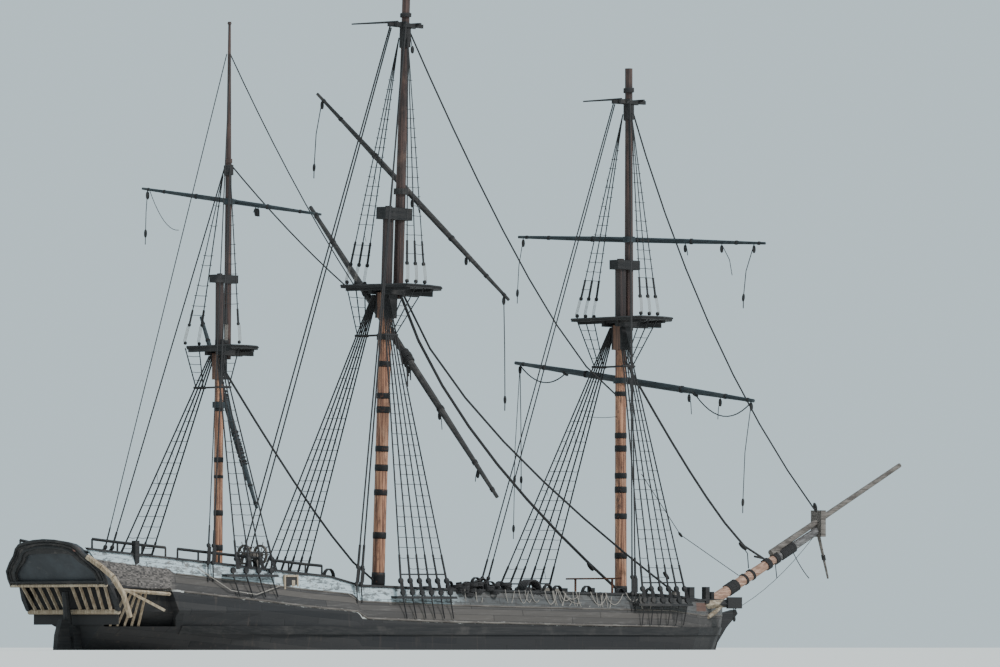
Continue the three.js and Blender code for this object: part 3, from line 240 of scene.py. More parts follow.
def between(table, x):
    """Height at x along a table of (x, height) pairs."""
    if x <= table[0][0]:
        return table[0][1]
    for (x0, z0), (x1, z1) in zip(table, table[1:]):
        if x <= x1:
            return z0 + (z1 - z0) * (x - x0) / (x1 - x0)
    return table[-1][1]


def on_mast(mast, x, y, z):
    """A point given in a mast's own leaning frame."""
    row = MASTS[mast]
    lean = math.radians(row.lean)
    turn = Matrix.Rotation(lean, 3, "X") @ Matrix.Rotation(lean, 3, "Y")
    return Vector((row.x, 0, MAST_PIVOT_Z)) + turn @ Vector((x, y, z - MAST_PIVOT_Z))


def spar_radius(mast, lower, z):
    """Radius of a lower mast, or of its topmast, at a height."""
    row = MASTS[mast]
    if lower:
        return row.foot + (row.hounds - row.foot) * (z - row.deck) / (row.top - HOUNDS_DROP - row.deck)
    start = row.cap_top + 0.2
    end = row.trees - (0 if mast == "mizzen" else 0.3)
    return row.topmast + (row.topmast_head - row.topmast) * max(0.0, (z - start) / (end - start))


def on_yard(name, share, down=0.0):
    """A point on a yard's axis at a share of its length from the port end, or below that point."""
    yard = YARDS[name]
    mast_x = 0.0 if yard.lower else MASTS[yard.mast].gap
    yard_x = mast_x + spar_radius(yard.mast, yard.lower, yard.z - 0.12) + 0.09 + yard.r + 0.02
    droop, brace = math.radians(yard.droop), math.radians(yard.brace)
    level = math.cos(droop)
    along = Vector((math.sin(brace) * level, -math.cos(brace) * level, -math.sin(droop)))
    local = Vector((yard_x, 0, yard.z)) + along * (yard.out + (share - 0.5) * yard.length)
    return on_mast(yard.mast, *local) + DOWN * down


def yard_radius(name, share):
    """Radius of a yard, which is even at the middle and half as thick at its ends."""
    taper = max(0.0, (abs(share - 0.5) - 0.175) / 0.325)
    return YARDS[name].r * (1 - 0.5 * taper)


def on_sprit(x):
    return Vector((x, 0, SPRIT_Z + (x - SPRIT_X) * SPRIT_SLOPE))


def side_at(x, z, side, out=0.0):
    """The hull's side at a place along it and a height, moved out by a distance."""
    start = Vector((x, side * 6, z)) * SCALE
    hit, normal, _, _ = HULL_SURFACE.ray_cast(start, Vector((0, -side, 0)), 4)
    if hit is None:
        hit, normal = Vector((x, side * 2, z)) * SCALE, Vector((0, side, 0))
    return hit / SCALE + Vector((normal.x, normal.y, 0)).normalized() * out


def under_rail(x, depth, side, out):
    """The hull's side at a depth under the rail."""
    return side_at(x, between(RAIL_LINE, x) - depth, side, out)


def on_stern(y, z, back=0.0):
    return Vector((TRANSOM_FOOT - TRANSOM_RAKE * z - back, y, z))


def at_height(a, b, z):
    return a.lerp(b, (z - a.z) / (b.z - a.z))


# Shapes


class Strands:
    """Ropes and rods as chains of points, each with its own thickness."""

    def __init__(self):
        self.points, self.edges, self.radii = [], [], []

    def add(self, chain, radius):
        start = len(self.points)
        self.points += [Vector(p) * SCALE for p in chain]
        self.edges += [(start + i, start + i + 1) for i in range(len(chain) - 1)]
        self.radii += [radius * SCALE] * len(chain)

    def hang(self, a, b, sag, radius, steps=8):
        """A rope from a to b that hangs lowest in the middle."""
        a, b = Vector(a), Vector(b)
        shares = [i / steps for i in range(steps + 1)]
        self.add([a.lerp(b, t) + DOWN * (4 * sag * t * (1 - t)) for t in shares], radius)

    def coil(self, centre, radius, turns, thick, upright=False, squash=1.0, rise=0.8, steps=14):
        """A round coil of rope, flat on the deck or upright."""
        chain = []
        for i in range(turns * steps + 1):
            angle = i * 2 * math.pi / steps
            x, y = math.cos(angle) * radius, math.sin(angle) * radius * squash
            lift = i / steps * thick * 2 * rise
            chain.append(Vector(centre) + Vector((x, lift, y) if upright else (x, y, lift)))
        self.add(chain, thick)

    def wrap(self, a, b, radius, turns, thick, steps=10):
        """A rope wound round the line from a to b."""
        a, b = Vector(a), Vector(b)
        along = (b - a).normalized()
        across = along.orthogonal().normalized()
        other = along.cross(across)
        chain = []
        for i in range(turns * steps + 1):
            angle = i * 2 * math.pi / steps
            out = (across * math.cos(angle) + other * math.sin(angle)) * radius
            chain.append(a.lerp(b, i / (turns * steps)) + out)
        self.add(chain, thick)


class Fittings:
    """Places at which one shape is repeated, each with a turn and a size."""

    def __init__(self):
        self.points, self.turns, self.sizes = [], [], []

    def add(self, place, facing, size):
        """The shape's own Z axis is turned to face along a direction."""
        self.points.append(Vector(place) * SCALE)
        self.turns.append(Vector(facing).to_track_quat("Z", "Y").to_euler())
        self.sizes.append(Vector(size) * SCALE)


def linked(name, data):
    made = bpy.data.objects.new(name, data)
    bpy.context.scene.collection.objects.link(made)
    return made


def remove_with_mesh(unwanted):
    mesh = unwanted.data
    bpy.data.objects.remove(unwanted)
    bpy.data.meshes.remove(mesh)


def mesh_object(name, build):
    """An object whose mesh is filled in by a function that takes an empty bmesh."""
    bm = bmesh.new()
    build(bm)
    bmesh.ops.recalc_face_normals(bm, faces=bm.faces)
    mesh = bpy.data.meshes.new(name)
    bm.to_mesh(mesh)
    bm.free()
    return linked(name, mesh)


def lathe(bm, profile, segments=16):
    """A closed body turned about Z from (radius, height) pairs that start and end on the axis."""
    rings = []
    for r, z in profile:
        angles = [i * 2 * math.pi / segments for i in range(segments)] if r else [0]
        rings.append([bm.verts.new((r * math.cos(a), r * math.sin(a), z)) for a in angles])
    for low, high in zip(rings, rings[1:]):
        for i in range(segments):
            j = (i + 1) % segments
            if len(low) == 1:
                bm.faces.new((low[0], high[i], high[j]))
            elif len(high) == 1:
                bm.faces.new((low[i], low[j], high[0]))
            else:
                bm.faces.new((low[i], low[j], high[j], high[i]))


def deadeye_shape(bm):
    lathe(bm, [(0, -0.5), (0.75, -0.5), (1, -0.3), (0.86, 0), (1, 0.3), (0.75, 0.5), (0, 0.5)])


def hoop_shape(bm):
    lathe(bm, [(0, -0.5), (1, -0.5), (1.03, -0.3), (1.03, 0.3), (1, 0.5), (0, 0.5)], 24)


def block_shape(bm):
    """An oval pulley block, longest along Z."""
    lathe(bm, [(0, -1), (0.45, -0.93), (0.72, -0.7), (0.9, -0.3), (0.92, 0), (0.88, 0.35), (0.7, 0.72),
               (0.42, 0.93), (0, 1)], 12)


# Node trees

TREES = {}  # by the function that builds each


class Value:
    """A number or colour that a material works out, written in plain sums."""

    def __init__(self, nodes, socket):
        self.nodes, self.socket = nodes, socket

    def math(self, operation, *others):
        return self.nodes.make("ShaderNodeMath", dict(enumerate((self, *others))), operation=operation)

    def __add__(self, other):
        return self.math("ADD", other)

    def __sub__(self, other):
        return self.math("SUBTRACT", other)

    def __mul__(self, other):
        return self.math("MULTIPLY", other)

    def __truediv__(self, other):
        return self.math("DIVIDE", other)

    def size(self):
        return self.math("ABSOLUTE")

    def floor(self):
        return self.math("FLOOR")

    def fract(self):
        return self.math("FRACT")

    def step(self, low, high, end=1.0, start=0.0):
        """Start below low, end above high and smooth between them."""
        ends = {"Value": self, "From Min": low, "From Max": high, "To Min": start, "To Max": end}
        return self.nodes.make("ShaderNodeMapRange", ends, "Result", interpolation_type="SMOOTHSTEP")

    def fade(self, low, high):
        """1 below low, 0 above high and smooth between them."""
        return self.step(low, high, 0.0, 1.0)

    def near(self, centre, low, high):
        """1 up to a low distance from a centre and 0 past a high one."""
        return (self - centre).size().fade(low, high)


class Nodes:
    """A node tree that is built one call at a time."""

    def __init__(self, tree):
        self.tree = tree

    def put(self, value, socket):
        if isinstance(value, Value):
            self.tree.links.new(value.socket, socket)
        else:
            socket.default_value = (*value, 1.0) if socket.type == "RGBA" else value

    def make(self, kind, inputs, output=0, **settings):
        """A new node with its inputs set or linked. Returns one of its outputs."""
        node = self.tree.nodes.new(kind)
        for label, value in settings.items():
            setattr(node, label, value)
        for label, value in inputs.items():
            self.put(value, node.inputs[label])
        return Value(self, node.outputs[output])

    def attribute(self, name, kind):
        return self.make("GeometryNodeInputNamedAttribute", {"Name": name}, "Attribute", data_type=kind)


def new_tree(name, kinds):
    """A tree of geometry nodes with named inputs. Returns it with what they give."""
    tree = bpy.data.node_groups.new(name, "GeometryNodeTree")
    for label, kind in kinds.items():
        tree.interface.new_socket(label, in_out="INPUT", socket_type="NodeSocket" + kind)
    tree.interface.new_socket("Geometry", in_out="OUTPUT", socket_type="NodeSocketGeometry")
    nodes = Nodes(tree)
    start = tree.nodes.new("NodeGroupInput")
    return nodes, {label: Value(nodes, start.outputs[label]) for label in kinds}


def end_tree(nodes, geometry, material):
    """Realizes the instances and sets the material."""
    real = nodes.make("GeometryNodeRealizeInstances", {"Geometry": geometry})
    painted = nodes.make("GeometryNodeSetMaterial", {"Geometry": real, "Material": material})
    end = nodes.tree.nodes.new("NodeGroupOutput")
    nodes.put(painted, end.inputs["Geometry"])
    return nodes.tree


def rope_tree():
    """Turns chains of edges into round ropes."""
    nodes, given = new_tree("Ropes", {"Geometry": "Geometry", "Sides": "Int", "Material": "Material"})
    curve = nodes.make("GeometryNodeMeshToCurve", {"Mesh": given["Geometry"]})
    ring = nodes.make("GeometryNodeCurvePrimitiveCircle", {"Resolution": given["Sides"], "Radius": 1.0})
    thickness = nodes.attribute("thickness", "FLOAT")
    rope = nodes.make("GeometryNodeCurveToMesh", {
        "Curve": curve, "Profile Curve": ring, "Scale": thickness, "Fill Caps": True})
    return end_tree(nodes, rope, given["Material"])


def fitting_tree():
    """Sets one shape at every point, turned and sized by the point's own values."""
    nodes, given = new_tree("Fittings", {"Geometry": "Geometry", "Shape": "Object", "Material": "Material"})
    shape = nodes.make("GeometryNodeObjectInfo", {"Object": given["Shape"]}, "Geometry")
    turn = nodes.make("FunctionNodeEulerToRotation", {"Euler": nodes.attribute("turn", "FLOAT_VECTOR")})
    size = nodes.attribute("size", "FLOAT_VECTOR")
    copies = nodes.make("GeometryNodeInstanceOnPoints", {
        "Points": given["Geometry"], "Instance": shape, "Rotation": turn, "Scale": size})
    return end_tree(nodes, copies, given["Material"])


def run_tree(name, mesh, maker, values):
    """Applies a tree with its inputs to a mesh and returns a plain mesh object."""
    source = linked(name + "_source", mesh)
    modifier = source.modifiers.new("build", "NODES")
    if maker not in TREES:
        TREES[maker] = maker()
    modifier.node_group = TREES[maker]
    for item in modifier.node_group.interface.items_tree:
        if item.in_out == "INPUT" and item.name in values:
            modifier[item.identifier] = values[item.name]
    bpy.context.view_layer.update()
    graph = bpy.context.evaluated_depsgraph_get()
    made = bpy.data.meshes.new_from_object(source.evaluated_get(graph))
    source.modifiers.remove(modifier)
    remove_with_mesh(source)
    made.name = name
    return linked(name, made)


def finished(made, body, smooth=True):
    if smooth:
        made.data.shade_smooth()
    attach(made, body)


def spin(name, strands, paint="tarred_rope", body="ship", sides=6):
    """Makes one mesh of all the strands."""
    mesh = bpy.data.meshes.new(name + "_lines")
    mesh.from_pydata(strands.points, strands.edges, [])
    mesh.attributes.new("thickness", "FLOAT", "POINT").data.foreach_set("value", strands.radii)
    made = run_tree(name, mesh, rope_tree, {"Sides": sides, "Material": material(paint)})
    finished(made, body)


def repeat(name, fittings, shape, paint="dark_timber", body="ship"):
    """Makes one mesh of a shape at all the places."""
    mesh = bpy.data.meshes.new(name + "_places")
    mesh.from_pydata(fittings.points, [], [])
    for label, rows in (("turn", fittings.turns), ("size", fittings.sizes)):
        attribute = mesh.attributes.new(label, "FLOAT_VECTOR", "POINT")
        attribute.data.foreach_set("vector", [c for row in rows for c in row])
    pattern = mesh_object(name + "_shape", shape)
    made = run_tree(name, mesh, fitting_tree, {"Shape": pattern, "Material": material(paint)})
    remove_with_mesh(pattern)
    finished(made, body)


def add_boxes(name, rows, paint):
    """One mesh of plain blocks from rows of centre and size."""
    def fill(bm):
        for centre, size in rows:
            scaled = Matrix.Diagonal(Vector((*[s * SCALE for s in size], 1)))
            bmesh.ops.create_cube(bm, size=1, matrix=Matrix.Translation(Vector(centre) * SCALE) @ scaled)

    made = mesh_object(name, fill)
    made.data.materials.append(material(paint))
    finished(made, "ship", smooth=False)


# Materials


class Paint(Nodes):
    """A material's nodes. Its x, y and z are the place on the ship in full-size metres."""

    def __init__(self, name):
        self.material = bpy.data.materials.new(name)
        self.material.use_nodes = True
        super().__init__(self.material.node_tree)
        self.shader = self.tree.nodes["Principled BSDF"].inputs
        self.place = self.make("ShaderNodeTexCoord", {}, "Object")
        self.x, self.y, self.z = (self.part(self.place, axis) / SCALE for axis in "XYZ")

    def part(self, vector, axis):
        return self.make("ShaderNodeSeparateXYZ", {"Vector": vector}, axis)

    def facing(self, axis):
        """How far a face looks along an axis, from -1 to 1."""
        return self.part(self.make("ShaderNodeNewGeometry", {}, "True Normal"), axis)

    def noise(self, cells, detail, roughness):
        """Cloudy pattern from 0 to 1, with a number of cells to a metre of the model along each axis."""
        cells = cells if isinstance(cells, tuple) else (cells,) * 3
        place = self.make("ShaderNodeVectorMath", {0: self.place, 1: cells}, operation="MULTIPLY")
        settings = {"Vector": place, "Scale": 1.0, "Detail": detail, "Roughness": roughness}
        return self.make("ShaderNodeTexNoise", settings)

    def chance(self, row, column, seed):
        """A random tone for each pair of whole numbers of row and column."""
        cell = self.make("ShaderNodeCombineXYZ", {"X": row.floor(), "Y": column.floor(), "Z": seed})
        return self.make("ShaderNodeTexWhiteNoise", {"Vector": cell}, "Value", noise_dimensions="3D")

    def mix(self, share, a, b):
        """Colour a where the share is 0 and b where it is 1."""
        node = self.tree.nodes.new("ShaderNodeMix")
        node.data_type = "RGBA"
        node.clamp_factor = True
        colours = [s for s in node.inputs if s.type == "RGBA"]
        for value, socket in ((share, node.inputs[0]), (a, colours[0]), (b, colours[1])):
            self.put(value, socket)
        return Value(self, next(s for s in node.outputs if s.type == "RGBA"))

    def line(self, table, x):
        """Height along a table of (x, height) pairs."""
        low, high = table[0][0], table[-1][0]
        top = max(z for _, z in table)
        ramp = self.tree.nodes.new("ShaderNodeValToRGB")
        stops = ramp.color_ramp.elements
        while len(stops) < len(table):
            stops.new(0.5)
        for stop, (place, _) in zip(stops, table):
            stop.position = (place - low) / (high - low)
        for stop, (_, height) in zip(stops, table):
            stop.color = (height / top,) * 3 + (1.0,)
        self.put((x - low) / (high - low), ramp.inputs["Fac"])
        return Value(self, ramp.outputs["Color"]) * top

    def bump(self, height, strength, distance):
        bumps = {"Height": height, "Strength": strength, "Distance": distance}
        self.put(self.make("ShaderNodeBump", bumps, "Normal"), self.shader["Normal"])

    def done(self, colour, rough, metal=0.0):
        for label, value in (("Base Color", colour), ("Roughness", rough), ("Metallic", metal)):
            self.put(value, self.shader[label])
        return self.material


def grained(name, main, dark, pale, along, rough):
    """Weathered wood with its grain along an axis."""
    paint = Paint(name)
    grain = paint.noise(tuple(1.4 if axis == along else 26.0 for axis in "XYZ"), 6.0, 0.65)
    patches = paint.noise(1.7, 5.0, 0.6)
    streaked = paint.mix(grain.step(0.38, 0.68), dark, main)
    paint.bump(grain, 0.25, 0.01)
    return paint.done(paint.mix(patches.step(0.5, 0.75, 0.5), streaked, pale), rough)


def bare_quarter(paint, under):
    """Short shingles of many greys."""
    shingle = paint.chance(paint.x * 13.0, under * 24.0, 7.0)
    return paint.mix(shingle, (0.035, 0.031, 0.03), (0.19, 0.165, 0.15))


def deck_planks(paint):
    board = paint.y / 0.17
    tone = paint.chance(board, paint.x * 0.2, 1.0)
    planks = paint.mix(tone, (0.16, 0.14, 0.12), (0.27, 0.245, 0.215))
    return paint.mix(board.fract().fade(0.0, 0.1), planks, (0.03, 0.03, 0.03))


def topsides(settings):
    """Planked sides: a peeling pale band under the rail, grey strakes, a thin pale line and black."""
    paint = Paint("hull_topsides")
    x = paint.x
    under = paint.line(RAIL_LINE, x) - paint.z
    rows = under / settings.plank_width
    lengths = x / settings.plank_length + rows.floor() * 0.37
    tone = paint.chance(rows, lengths, 3.0)
    joint = rows.fract().fade(0.0, 0.1).math("MAXIMUM", lengths.fract().fade(0.0, 0.014))
    grain = paint.noise((1.6, 20.0, 20.0), 6.0, 0.7)
    drips = paint.noise((9.0, 9.0, 0.9), 5.0, 0.65)
    depth = under + (drips - 0.5) * 0.12

    bare = paint.mix(tone, (0.04, 0.037, 0.037), (0.09, 0.078, 0.07))
    bare = paint.mix(grain.step(0.5, 0.8, 0.5), bare, (0.19, 0.175, 0.165))
    flakes = paint.noise((5.0, 14.0, 14.0), 8.0, 0.75).step(0.5, 0.56, settings.peel)
    band = paint.mix(flakes, settings.band_colour, bare)
    band = paint.mix(drips.step(0.5, 0.8, 0.5), band, (0.22, 0.17, 0.13))
    band = paint.mix(x.step(DARK_SIDE_X, DARK_SIDE_X + 1.8, 0.93), band, bare)
    black = paint.mix(tone, settings.black_colour, (0.03, 0.028, 0.028))
    black = paint.mix(drips.step(0.55, 0.85, 0.5), black, (0.12, 0.09, 0.07))
    forward = x.step(QUARTER_END_X, QUARTER_END_X + 0.4)
    bare = paint.mix(forward, bare_quarter(paint, under), bare)
    # rust-brown patch near the bow
    rusty = paint.mix(tone, (0.09, 0.042, 0.03), (0.15, 0.075, 0.055))
    along = x.step(14.7, 14.8) * x.fade(15.6, 15.7)
    patch = along * (paint.z.step(1.6, 1.65) * paint.z.fade(1.95, 2.0)) * 0.85
    bare, band = paint.mix(patch, bare, rusty), paint.mix(patch, band, rusty)

    below_band = depth - (forward * 0.15 + (BAND_DEPTH - 0.15))
    colour = paint.mix(below_band.fade(-0.02, 0.02), bare, band)
    colour = paint.mix(depth.step(LINE_DEPTH + 0.01, LINE_DEPTH + 0.05), colour, black)
    colour = paint.mix(depth.near(LINE_DEPTH, 0.025, 0.045) * forward * 0.8, colour, (0.5, 0.5, 0.47))
    colour = paint.mix(joint * 0.75, colour, (0.01, 0.01, 0.01))
    colour = paint.mix(paint.facing("Z").step(0.7, 0.8), colour, deck_planks(paint))
    paint.bump(grain * 0.25 - joint, 0.5, 0.012)
    return paint.done(colour, 0.82)


def stern_paint():
    """Smooth panel under worn charcoal paint, with a dark rim and a rusty place on it."""
    paint = Paint("stern_panel")
    worn = paint.noise((4.0, 4.0, 9.0), 6.0, 0.7)
    patches = paint.noise(1.6, 4.0, 0.6)
    panel = paint.mix(patches.step(0.35, 0.7), (0.026, 0.028, 0.032), (0.045, 0.05, 0.056))
    panel = paint.mix(worn.step(0.55, 0.75, 0.35), panel, (0.12, 0.11, 0.105))
    rim = paint.mix(worn.step(0.45, 0.7), (0.014, 0.012, 0.012), (0.06, 0.05, 0.046))
    rust = paint.y.near(-1.75, 0.16, 0.24) * paint.z.near(3.98, 0.1, 0.15)
    rim = paint.mix(rust, rim, (0.2, 0.09, 0.07))
    depth = paint.x + paint.z * TRANSOM_RAKE - TRANSOM_FOOT
    paint.bump(worn, 0.2, 0.006)
    return paint.done(paint.mix(depth.step(0.05, 0.07), rim, panel), 0.75)


def cathead_paint():
    """Bleached beam with a dark head."""
    paint = Paint("cathead_timber")
    grain = paint.noise((20.0, 2.0, 20.0), 6.0, 0.65)
    beam = paint.mix(grain.step(0.35, 0.7), (0.24, 0.18, 0.125), (0.52, 0.44, 0.33))
    paint.bump(grain, 0.25, 0.008)
    return paint.done(paint.mix(paint.y.size().step(3.8, 3.86), beam, (0.03, 0.028, 0.028)), 0.85)


def mast_paint(mast, settings):
    """Orange-tan below the hounds, black cheeks with the mast's wood between them, a dark head."""
    top = MASTS[mast].top
    paint = Paint(mast + "_mast_timber")
    grain = paint.noise((34.0, 34.0, 0.9), 6.0, 0.65)
    patches = paint.noise((3.0, 3.0, 1.2), 4.0, 0.6)
    cracks = paint.noise((60.0, 60.0, 1.5), 3.0, 0.5)
    stains = paint.noise((7.0, 7.0, 2.6), 6.0, 0.75)
    tan = paint.mix(grain.step(0.38, 0.66), (0.14, 0.055, 0.034), settings.mast_colour)
    tan = paint.mix(patches.step(0.55, 0.8, 0.5), tan, (0.64, 0.4, 0.27))
    tan = paint.mix(cracks.step(0.6, 0.66, 0.85), tan, (0.05, 0.025, 0.021))
    tan = paint.mix(stains.step(0.54, 0.66, 0.75), tan, (0.05, 0.028, 0.025))
    head = paint.mix(grain.step(0.4, 0.7), (0.022, 0.016, 0.016), (0.075, 0.04, 0.033))
    after_side = (paint.facing("X") * -1.0).step(0.5, 0.8)
    middle = on_mast(mast, 0, 0, top - 0.8).y
    bared = after_side * paint.y.near(middle, 0.2, 0.24) * 0.4
    cheeks = paint.mix(bared, (0.02, 0.018, 0.019), tan)
    colour = paint.mix(paint.z.step(top - 1.35, top - 1.25), tan, cheeks)
    paint.bump(grain, 0.25, 0.008)
    return paint.done(paint.mix(paint.z.step(top - 0.3, top), colour, head), 0.62)


def sprit_paint():
    """The bowsprit: tan near the hull and grey further out."""
    paint = Paint("bowsprit_timber")
    grain = paint.noise((1.2, 30.0, 30.0), 6.0, 0.65)
    tan = paint.mix(grain.step(0.35, 0.7), (0.22, 0.115, 0.075), (0.52, 0.33, 0.24))
    grey = paint.mix(grain.step(0.35, 0.7), (0.06, 0.055, 0.055), (0.2, 0.19, 0.185))
    paint.bump(grain, 0.25, 0.008)
    return paint.done(paint.mix(paint.x.step(23.2, 23.6), tan, grey), 0.75)


def twisted(name, cells, dark, pale):
    """Rope with its strands as fine noise."""
    paint = Paint(name)
    return paint.done(paint.mix(paint.noise(cells, 2.0, 0.5), dark, pale), 0.95)


def iron(name, cells, low, high, share, dark, rust, rough, metal):
    """Iron with rust over a share of it."""
    paint = Paint(name)
    rusted = paint.noise(cells, 5.0, 0.7).step(low, high, share)
    return paint.done(paint.mix(rusted, dark, rust), rough, metal)


# Main, dark and pale colour, the axis that the grain runs along, and roughness.
WOODS = {
    "dark_timber": ((0.027, 0.025, 0.025), (0.011, 0.011, 0.012), (0.085, 0.074, 0.067), "X", 0.8),
    "bare_timber": ((0.46, 0.37, 0.265), (0.24, 0.175, 0.115), (0.56, 0.5, 0.4), "Z", 0.9),
    "topmast_timber": ((0.088, 0.047, 0.038), (0.028, 0.018, 0.017), (0.17, 0.1, 0.075), "Z", 0.7),
    "yard_blue": ((0.034, 0.048, 0.055), (0.014, 0.02, 0.024), (0.085, 0.092, 0.09), "Y", 0.75),
    "yard_brown": ((0.05, 0.044, 0.041), (0.018, 0.017, 0.017), (0.11, 0.1, 0.093), "Y", 0.8),
    "grey_timber": ((0.2, 0.175, 0.155), (0.075, 0.063, 0.055), (0.3, 0.275, 0.25), "X", 0.85),
    "deck_timber": ((0.21, 0.185, 0.155), (0.09, 0.075, 0.06), (0.3, 0.27, 0.235), "X", 0.85),
}


# Cells of the pattern to a metre, dark and pale colour.
ROPES = {
    "tarred_rope": (60.0, (0.012, 0.012, 0.014), (0.05, 0.046, 0.045)),
    "worn_rope": (50.0, (0.16, 0.145, 0.13), (0.4, 0.36, 0.32)),
}
# Cells of the pattern to a metre, from where to where rust sets in, its share, dark and rust colour,
# roughness and metal.
IRONS = {
    "black_iron": (14.0, 0.56, 0.7, 0.6, (0.012, 0.012, 0.013), (0.16, 0.06, 0.028), 0.6, 0.3),
    "rusty_iron": (11.0, 0.4, 0.65, 1.0, (0.09, 0.035, 0.022), (0.26, 0.11, 0.06), 0.85, 0.0),
}
MATERIALS = {}


def make_materials(settings):
    for maker, rows in ((grained, WOODS), (twisted, ROPES), (iron, IRONS)):
        for name, row in rows.items():
            MATERIALS[name] = maker(name, *row)
    for mast in MASTS:
        MATERIALS[mast + "_mast"] = mast_paint(mast, settings)
    MATERIALS["hull_topsides"] = topsides(settings)
    MATERIALS["stern_panel"] = stern_paint()
    MATERIALS["cathead_timber"] = cathead_paint()
    MATERIALS["bowsprit_timber"] = sprit_paint()


def material(name):
    """One of the materials, which are all made when the first is asked for."""
    if not MATERIALS:
        make_materials(bpy.context.scene.ship_timber)
    return MATERIALS[name]


# Materials and the patterns of the names of the nodes that get them.
NODE_MATERIALS = {
    "hull_topsides": ("hull", "bulwark*"),
    "stern_panel": ("transom_panel",),
    "fore_mast": ("fore_lower_mast",),
    "main_mast": ("main_lower_mast",),
    "mizzen_mast": ("mizzen_lower_mast",),
    "topmast_timber": ("*_topmast", "capstan"),
    "tarred_rope": ("*_stay",),
    "yard_brown": ("main*_yard",),
    "yard_blue": ("fore*_yard", "crossjack_yard", "mizzen*_yard"),
    "cathead_timber": ("cathead*",),
    "bowsprit_timber": ("bowsprit",),
    "bare_timber": ("counter_timbers", "quarter_ribs"),
    "grey_timber": ("jibboom", "dolphin_striker", "bowsprit_cap", "steering_wheel", "wheel_stand",
                    "windlass*"),
    "deck_timber": ("capstan_step", "main_hatch", "companion_hood"),
}


def material_for(node):
    """The material that a node of the frame gets."""
    for name, patterns in NODE_MATERIALS.items():
        if any(fnmatchcase(node, pattern) for pattern in patterns):
            return material(name)
    return material("dark_timber")


# Rigging


def lower_gang(mast, side):
    """The lower and upper deadeye and the head of each lower shroud on one side."""
    row, gang = MASTS[mast], GANGS[mast]
    rows = []
    for i in range(gang.count):
        share = i / (gang.count - 1)
        x = gang.first + share * (gang.last - gang.first)
        low = side_at(x, gang.z, side, gang.out - 0.04) - DOWN * 0.2
        head = on_mast(mast, gang.head + HEADS_SPREAD * share, side * (row.hounds + 0.06), row.top - 0.33)
        rows.append((low, low + (head - low).normalized() * LOWER_EYES_APART, head))
    return rows


def topmast_gang(mast, side):
    """The same of each topmast shroud, which starts at the rim of the top."""
    row, gang = MASTS[mast], GANGS[mast]
    head = on_mast(mast, row.gap - 0.1, side * (row.topmast_head + 0.1), row.trees - 0.5)
    rows = []
    for i in range(gang.upper):
        x = row.gap - 1.2 + i * (0.5 if gang.upper == 3 else 0.75)
        low = on_mast(mast, x, side * row.wide * 0.455, row.top + 0.2)
        rows.append((low, low + (head - low).normalized() * UPPER_EYES_APART, head))
    return rows


def rungs(strands, rows, low_z, high_z, step, settings, dice, over=0.0):
    """Ratlines across the shrouds of a gang, with some of them gone."""
    z = low_z
    while z < high_z:
        crossings = [at_height(high, head, z) for _, high, head in rows]
        along = (crossings[-1] - crossings[0]).normalized() * over
        crossings[0], crossings[-1] = crossings[0] - along, crossings[-1] + along
        for a, b in zip(crossings, crossings[1:]):
            if dice.random() > settings.missing:
                strands.hang(a, b, dice.uniform(0.005, 0.03), settings.ratline_radius, 2)
            elif dice.random() < 0.3:
                loose = a.lerp(b, 0.2) + DOWN * dice.uniform(0.2, 0.5)
                strands.add([a, loose], settings.ratline_radius)
        z += step * dice.uniform(0.93, 1.07)


def lanyards(strands, low, high, side, radius, offsets=(-0.08, -0.04, 0.0, 0.04, 0.08)):
    """The turns of line between two deadeyes."""
    for offset in offsets:
        out = Vector((offset, side * 0.05, 0.05))
        strands.add([low + out, high + out + DOWN * 0.1], radius)


def add_eye(eyes, place, side, radius, thick):
    """A deadeye that faces out from the ship."""
    eyes.add(place, (0, side, 0.12), (radius, radius, thick))


def lower_shrouds(rig, eyes, mast, side, settings, dice):
    """One side's lower shrouds. Returns where the futtock stave crosses the first and the last."""
    gang = GANGS[mast]
    rows = lower_gang(mast, side)
    for low, high, head in rows:
        rig["shrouds"].add([high, head], settings.shroud_radius)
        add_eye(eyes, high, side, gang.eye, gang.eye * 1.3)
        lanyards(rig["lanyards"], low, high, side, settings.lanyard_radius)
        rig["shrouds"].add([high, high.lerp(head, LOWER_SERVED)], settings.shroud_radius * SERVED)
    stave_z = MASTS[mast].top - gang.stave
    rungs(rig["ratlines"], rows, rows[0][1].z + 0.5, stave_z - 0.2, settings.ratline_step, settings, dice)
    first, last = (at_height(high, head, stave_z) for _, high, head in (rows[0], rows[-1]))
    rig["futtock_staves"].add([first + (first - last) * 0.12, last + (last - first) * 0.12], 0.05)
    sheer = [high + (head - high).normalized() * 0.28 for _, high, head in (rows[0], rows[-1])]
    rig["futtock_staves"].add(sheer, 0.03)
    return first, last


